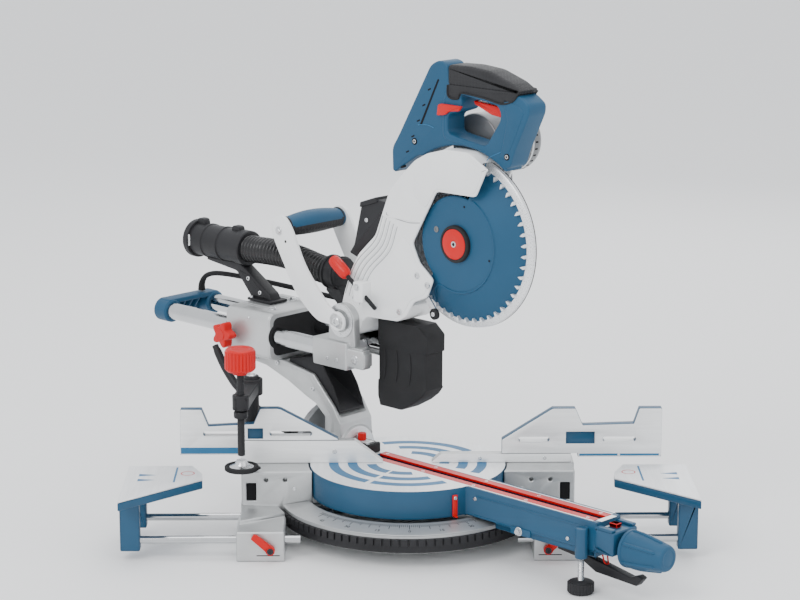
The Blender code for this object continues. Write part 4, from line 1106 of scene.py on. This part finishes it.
def make_motor():
    u, z = MOTOR
    can = lathe([(0, 0), (38, 0), (40.6, 2.6), (40.6, 30), (39.4, 31), (39.4, 34), (40.8, 35), (40.8, 62),
        (39.6, 63), (39.6, 66), (40.8, 67), (40.8, 76), (38.5, 82), (33, 86.4), (24, 88.6), (0, 88.8)],
        (u, 26, z), FAR, 64)
    case = arc(BLADE, 33.8, -172, 8, 20) + arc((u, z), 40.6, 8, 188, 20)
    gear = prism(case, "xz", 24.8, 50, 3.0, 3)
    piece("motor_look", "head", "motor_grey", [can, gear], replaces=("motor_housing",))
    rings = [lathe([(40.2, 0), (41, 0.4), (41, 3.4), (40.2, 3.8)], (u, y, z), FAR, 64)
        for y in (57.5, 89.0)]
    piece("motor_rings", "head", "chrome", rings)
    # painted shade: dark slots standing for the shade inside the motor's vent openings
    slots = []
    for i in range(28):
        for low, high in ((64, 84), (94.5, 100)):
            slot = block((39.2, low, -1.3), (41.0, high, 1.3), 0.4, 1)
            slots.append(spun(slot, MOTOR, math.tau * i / 28))
    for i in range(14):
        slots.append(spun(block((12, 114.1, -1.1), (22, 114.9, 1.1), 0.3, 1), MOTOR, math.tau * i / 14))
    piece("motor_vents", "head", "painted_shade", slots)
    caps = [lathe([(0, 0), (6, 0), (7, -0.8), (7, -3), (0, -3)], (u + side * 40.6, 76, z), (side, 0, 0),
        24) for side in (-1, 1)]
    caps.append(lathe([(0, 0), (21, 0), (23, 1.5), (23, 4), (20, 6), (0, 6.5)],
        (BLADE[0], 49.5, BLADE[1]), FAR))
    piece("motor_caps", "head", "black_plastic", caps)
    screws = []
    for k in range(4):
        a = math.radians(200 + 35 * k)
        screws.append(bolt((BLADE[0] + 29 * math.cos(a), 50, BLADE[1] + 29 * math.sin(a)), FAR, 3.2, 2.0))
    for u2, z2 in ((60, 430), (132, 425), (95, 470)):
        screws.append(bolt((u2, 50, T + z2), FAR, 3.2, 2.0))
    piece("motor_screws", "head", "steel", screws)


def make_chute():
    """A rubber skirt: wide at the top, a straight box below, and a loose flap at the foot."""
    levels = [(194.4, -39, 36, 17.9), (183, -39, 50, 17.9), (181, -39, 51.4, 17.9),
        (160, -39, 51.0, 17.9), (158.4, -38, 48.6, 17.0), (112, -38, 48.4, 17.0),
        (110.4, -39.2, 48.9, 17.9), (101, -39.6, 42, 17.9), (90, -39.6, 28, 17.8), (77, -36, 5, 17.4)]
    rings = []
    for z, low, high, deep in levels:
        corners = rounded([(low, -deep), (high, -deep), (high, deep), (low, deep)], 3.4, 3)
        rings.append([(u, v, T + z) for u, v in corners])
    rings.append([(-16 + (u + 16) * 0.88, v * 0.86, z + 0.6) for u, v, z in rings[-1]])
    rings.append([(u, v, T + 168) for u, v, z in rings[-1]])
    folds = []
    for u in (-26, -4, 20):
        folds.append(sweep(curve([(u, -17.2, T + 156), (u + 2, -17.5, T + 134), (u - 1, -17.2, T + 113)],
            5), [0.4] + [1.0] * 9 + [0.4], 8))
    skirt = piece("dust_chute_look", "head", "black_rubber", [skin(rings)] + folds,
        replaces=("dust_chute",), angle=50)
    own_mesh(skirt)


def make_carry_handle():
    bow = [(-88, 184), (-66, 180), (-64, 197), (-88, 206), (-118, 235), (-140, 262), (-160, 300),
        (-176, 317), (-194, 313), (-200, 295), (-176, 252), (-152, 216), (-116, 188)]
    bow = [(p.x, T + p.y) for p in curve([(a, b, 0) for a, b in bow + bow[:1]], 5)][:-1]
    shapes = []
    for v in (-57.4, 52.6):
        shapes.append(prism(bow, "xz", v, v + 4.8, 1.2))
        shapes.append(lathe([(0, 0), (12, 0), (13, 1), (13, 4), (12, 5), (0, 5)], (PIVOT[0], v, PIVOT[1]),
            FAR))
    piece("carry_arms", "head", "white_paint", shapes, replaces=("carry_handle",))
    heads = []
    for side in (-1, 1):
        face = side * 57.4
        heads += hexagon((-185, face, T + 297), (0, side, 0), 4.2, 3.0)
        heads.append(bolt((PIVOT[0], face, PIVOT[1]), (0, side, 0), 6.6, 2.4))
    piece("carry_bolts", "head", "steel", heads)
    # painted shade: dark discs standing for the shade inside the holes of the carry arms
    holes = [lathe([(0, 0), (1.9, 0), (1.9, 0.3), (0, 0.3)], (-172, side * 57.35, T + 284), (0, side, 0),
        16) for side in (-1, 1)]
    piece("carry_holes", "head", "painted_shade", holes)
    rings = []
    sides, steps, reach = 36, 24, 52.5
    for i in range(steps + 1):
        v = -reach + 2 * reach * i / steps
        t = abs(v) / reach
        fat = 0.88 + 0.30 * math.sin(math.pi * (1 - t) * 0.5)
        z = T + 302.5 + 1.5 * (1 - t * t) - 1.0
        turns = [math.tau * k / sides for k in range(sides)]
        rings.append([(-181 + 14.6 * fat * math.cos(a), v, z + 13.6 * fat * math.sin(a)) for a in turns])
    grip = piece("carry_grip", "head", "blue_plastic", skin(rings))
    grip.data.materials.append(MATS["grip_rubber"])
    for face in grip.data.polygons:
        spot = SAW.inverted() @ face.center * CAD_SCALE
        if spot.z < T + 303 and abs(spot.y) < 47 and spot.z < T + 303 + 0.35 * (spot.x + 181):
            face.material_index = 1
    collars = [lathe([(11.6, 0), (13.4, 0.6), (13.4, 2.6), (11.6, 3.2)], (-181, v, T + 302.3), FAR, 36)
        for v in (-50, 46.8)]
    piece("carry_collars", "head", "black_plastic", collars)


def make_depth_stop():
    start, along = Vector((-70, -42, T + 250)), Vector((52, 0, -36.3)).normalized()
    turns = thread(2.6, 3.0, 1.2, 0.6, 52, (2.5, 63))
    piece("depth_rod", "depth_stop", "black_plastic", lathe(turns, start, along, 18),
        replaces=("depth_stop_screw",), angle=20)
    top = Vector((-98, -42, T + 269.5))
    grip = lathe([(0, 0), (5.6, 0), (7.2, 1.6), (8, 5), (8, 29), (7, 32), (4.6, 34.6), (0, 34.8)], top,
        along)
    ribs = []
    for i in range(10):
        a = math.tau * i / 10
        side = along.orthogonal().normalized()
        out = Matrix.Rotation(a, 3, along) @ side
        ribs.append(sweep([top + along * 6 + out * 7.6, top + along * 17 + out * 7.7,
            top + along * 28 + out * 7.6], [0.6, 0.9, 0.6], 8))
    piece("depth_grip", "depth_stop", "red_plastic", [grip] + ribs)


def make_lower_guard():
    start, end = -133, 72

    def spot(r, a, v):
        return (BLADE[0] + r * math.cos(math.radians(a)), v, BLADE[1] + r * math.sin(math.radians(a)))

    def shell(profile, low=start, high=end, steps=82):
        """A profile of (radius, v) pairs carried round the blade from low to high."""
        return skin([[spot(r, low + (high - low) * i / steps, v) for r, v in profile]
            for i in range(steps + 1)])

    notches = []
    count = 26
    for i in range(count):
        a = start + 7 + (end - start - 12) * i / (count - 1)
        tooth = [spot(r, a + b, 0) for r, b in ((97.6, -0.5), (100.4, -1.0), (103.4, -1.2), (103.4, 1.2),
            (100.4, 0.5))]
        notches.append(prism([(x, z) for x, _, z in tooth], "xz", -12, -4))
    dish = shell([(57, -23.6), (60.5, -24.0), (66, -22.2), (98, -7.7), (102.6, -5.9), (102.6, -4.2),
        (96, -5.6), (64, -19.6), (57, -20.8)])
    step = lathe([(0, 0), (56.5, 0), (60.4, 0.5), (61.4, 1.6), (61.4, 3.4), (0, 3.4)],
        (BLADE[0], -24.2, BLADE[1]), FAR, 96)
    ridge = shell([(61.4, -22.8), (62.2, -24.8), (63.8, -24.8), (65.0, -22.0)], -112, 66, 60)
    tail = sweep(curve([spot(r, a, v) for r, a, v in ((63, -112, -23.6), (66, -119, -22.6),
        (74, -123, -19.4), (86, -123, -14), (97, -120, -9))], 6), [0.8] + [1.2] * 23 + [0.8], 8)
    piece("lower_guard_face", "guard", "blue_plastic", [dish, step, ridge, tail],
        replaces=("lower_guard",))
    piece("lower_guard_slots", "guard", "white_trim", notches)
    piece("lower_guard_rim", "guard", "white_trim",
        shell([(102.2, -6.3), (108.6, -4.6), (110.6, -3.4), (111.0, -1.5), (111.0, 1.2), (109.3, 1.2),
        (109.3, -2.8), (102.2, -4.6)]))
    piece("lower_guard_trim", "guard", "black_plastic",
        shell([(109.4, 1.0), (111.2, 1.0), (111.2, 2.4), (109.4, 2.4)]))
    # painted shade: dark discs standing for the shade inside the small holes of the lower guard
    dots = [lathe([(0, 0), (1.5, 0), (1.5, 0.3), (0, 0.3)], (u, -24.25, T + z), NEAR, 16) for u,
        z in ((122, 365), (91, 297), (165, 302))]
    piece("lower_guard_holes", "guard", "painted_shade", dots)
    piece("lower_guard_screw", "guard", "motor_grey", bolt((74, -24.2, T + 330), NEAR, 4.0, 1.0))
    piece("hub_ring", "guard", "black_rubber", lathe([(0, 0), (24, 0), (24, 4.0), (23, 5.4), (20.6, 6),
        (19.6, 5), (0, 5)], HUB, NEAR, 56), replaces=("guard_hub",))
    piece("hub_cap", "guard", "red_plastic",
        lathe([(5.4, 6.2), (18.2, 6.2), (19.5, 5.4), (19.5, 3), (4.2, 3), (4.2, 5.6)], HUB, NEAR, 56))
    piece("hub_bolt", "guard", "steel", lathe([(0, 3.6), (2.2, 3.6), (2.4, 6.0), (3.8, 6.0), (4.2, 5.2),
        (4.2, 3.0), (0, 3.0)], HUB, NEAR, 32))


def make_blade():
    count = 40
    outline = []
    for i in range(count):
        for part, radius in ((0.00, 107.9), (0.10, 107.3), (0.30, 105.8), (0.48, 103.0), (0.62, 99.8),
                (0.74, 98.2), (0.86, 98.6), (0.94, 100.6), (0.985, 104.5)):
            a = -math.tau * (i + part) / count
            outline.append((BLADE[0] + radius * math.cos(a), BLADE[1] + radius * math.sin(a)))
    disc = minus(prism(outline, "xz", -0.9, 0.9), about(-3, 3, 12.6, 48))
    piece("blade_disc", "blade", "blade_steel", disc, replaces=("saw_blade",), angle=40)
    tips = [spun(block((100.8, -1.2, -1.4), (107.8, 1.2, 0.25), 0.15, 1), BLADE, math.tau * i / count)
        for i in range(count)]
    piece("blade_tips", "blade", "carbide", tips)
    # painted shade: dark lines and end discs on both faces standing for the shade in the blade's open
    # expansion slits
    slits = []
    for k in range(5):
        a = math.tau * (k + 0.3) / 5
        path = [Vector((BLADE[0] + r * math.cos(a + b), 0, BLADE[1] + r * math.sin(a + b))) for r,
            b in ((97, 0), (90, 0.01), (84, 0.04), (79, 0.09))]
        slits += [sweep([p + Vector((0, v, 0)) for p in path], 0.55, 6) for v in (-0.72, 0.72)]
        hole = path[-1]
        slits += [lathe([(0, 0), (2.0, 0), (2.0, 0.25), (0, 0.25)], hole + Vector((0, v, 0)), (0, v, 0),
            16) for v in (-0.8, 0.8)]
    piece("blade_slits", "blade", "painted_shade", slits)
    repaint("arbor_flanges", "steel")


# ---------------------------------------------------------------- room, light and camera

def make_room():
    bm = bmesh.new()
    bmesh.ops.create_grid(bm, x_segments=1, y_segments=1, size=60.0)
    mesh = bpy.data.meshes.new("floor")
    bm.to_mesh(mesh)
    bm.free()
    floor = bpy.data.objects.new("floor", mesh)
    bpy.context.scene.collection.objects.link(floor)
    material = bpy.data.materials.new("pale_floor")
    material.use_nodes = True
    shader = material.node_tree.nodes["Principled BSDF"]
    shader.inputs["Base Color"].default_value = (0.92, 0.92, 0.92, 1.0)
    shader.inputs["Roughness"].default_value = 0.7
    mesh.materials.append(material)
    world = bpy.data.worlds.new("studio")
    world.use_nodes = True
    world.node_tree.nodes["Background"].inputs["Color"].default_value = (0.95, 0.97, 1.0, 1.0)
    world.node_tree.nodes["Background"].inputs["Strength"].default_value = 1.35
    bpy.context.scene.world = world
    for name, place, aim, size, power in (("key", (-1.4, -1.8, 2.2), (0, 0, 0.25), 1.3, 34.0),
            ("fill", (1.9, -1.5, 1.2), (0, 0, 0.25), 1.8, 6.0), ("top", (0.1, 0.3, 2.4), (0, 0, 0.1), 1.5,
            14.0), ("rear", (0.6, 2.0, 1.4), (0, 0, 0.3), 1.6, 10.0)):
        lamp = bpy.data.lights.new(name, "AREA")
        lamp.size = size
        lamp.energy = power
        holder = bpy.data.objects.new(name, lamp)
        bpy.context.scene.collection.objects.link(holder)
        holder.location = place
        holder.rotation_euler = (Vector(aim) - Vector(place)).to_track_quat("-Z", "Y").to_euler()
    lens = bpy.data.cameras.new("camera")
    lens.lens = 109.6
    lens.sensor_width = 36.0
    camera = bpy.data.objects.new("camera", lens)
    bpy.context.scene.collection.objects.link(camera)
    camera.location = (-0.0478, -3.109, 1.021)
    tilt, pan = math.radians(77.19), math.radians(-0.69)
    camera.rotation_euler = (tilt, 0.0, pan)
    bpy.context.scene.camera = camera


make_room()
make_base()
make_extensions()
make_clamp()
make_table()
make_table_controls()
make_arm()
make_arm_controls()
make_carriage()
make_upper_guard()
make_handle()
make_motor()
make_chute()
make_carry_handle()
make_depth_stop()
make_lower_guard()
make_blade()
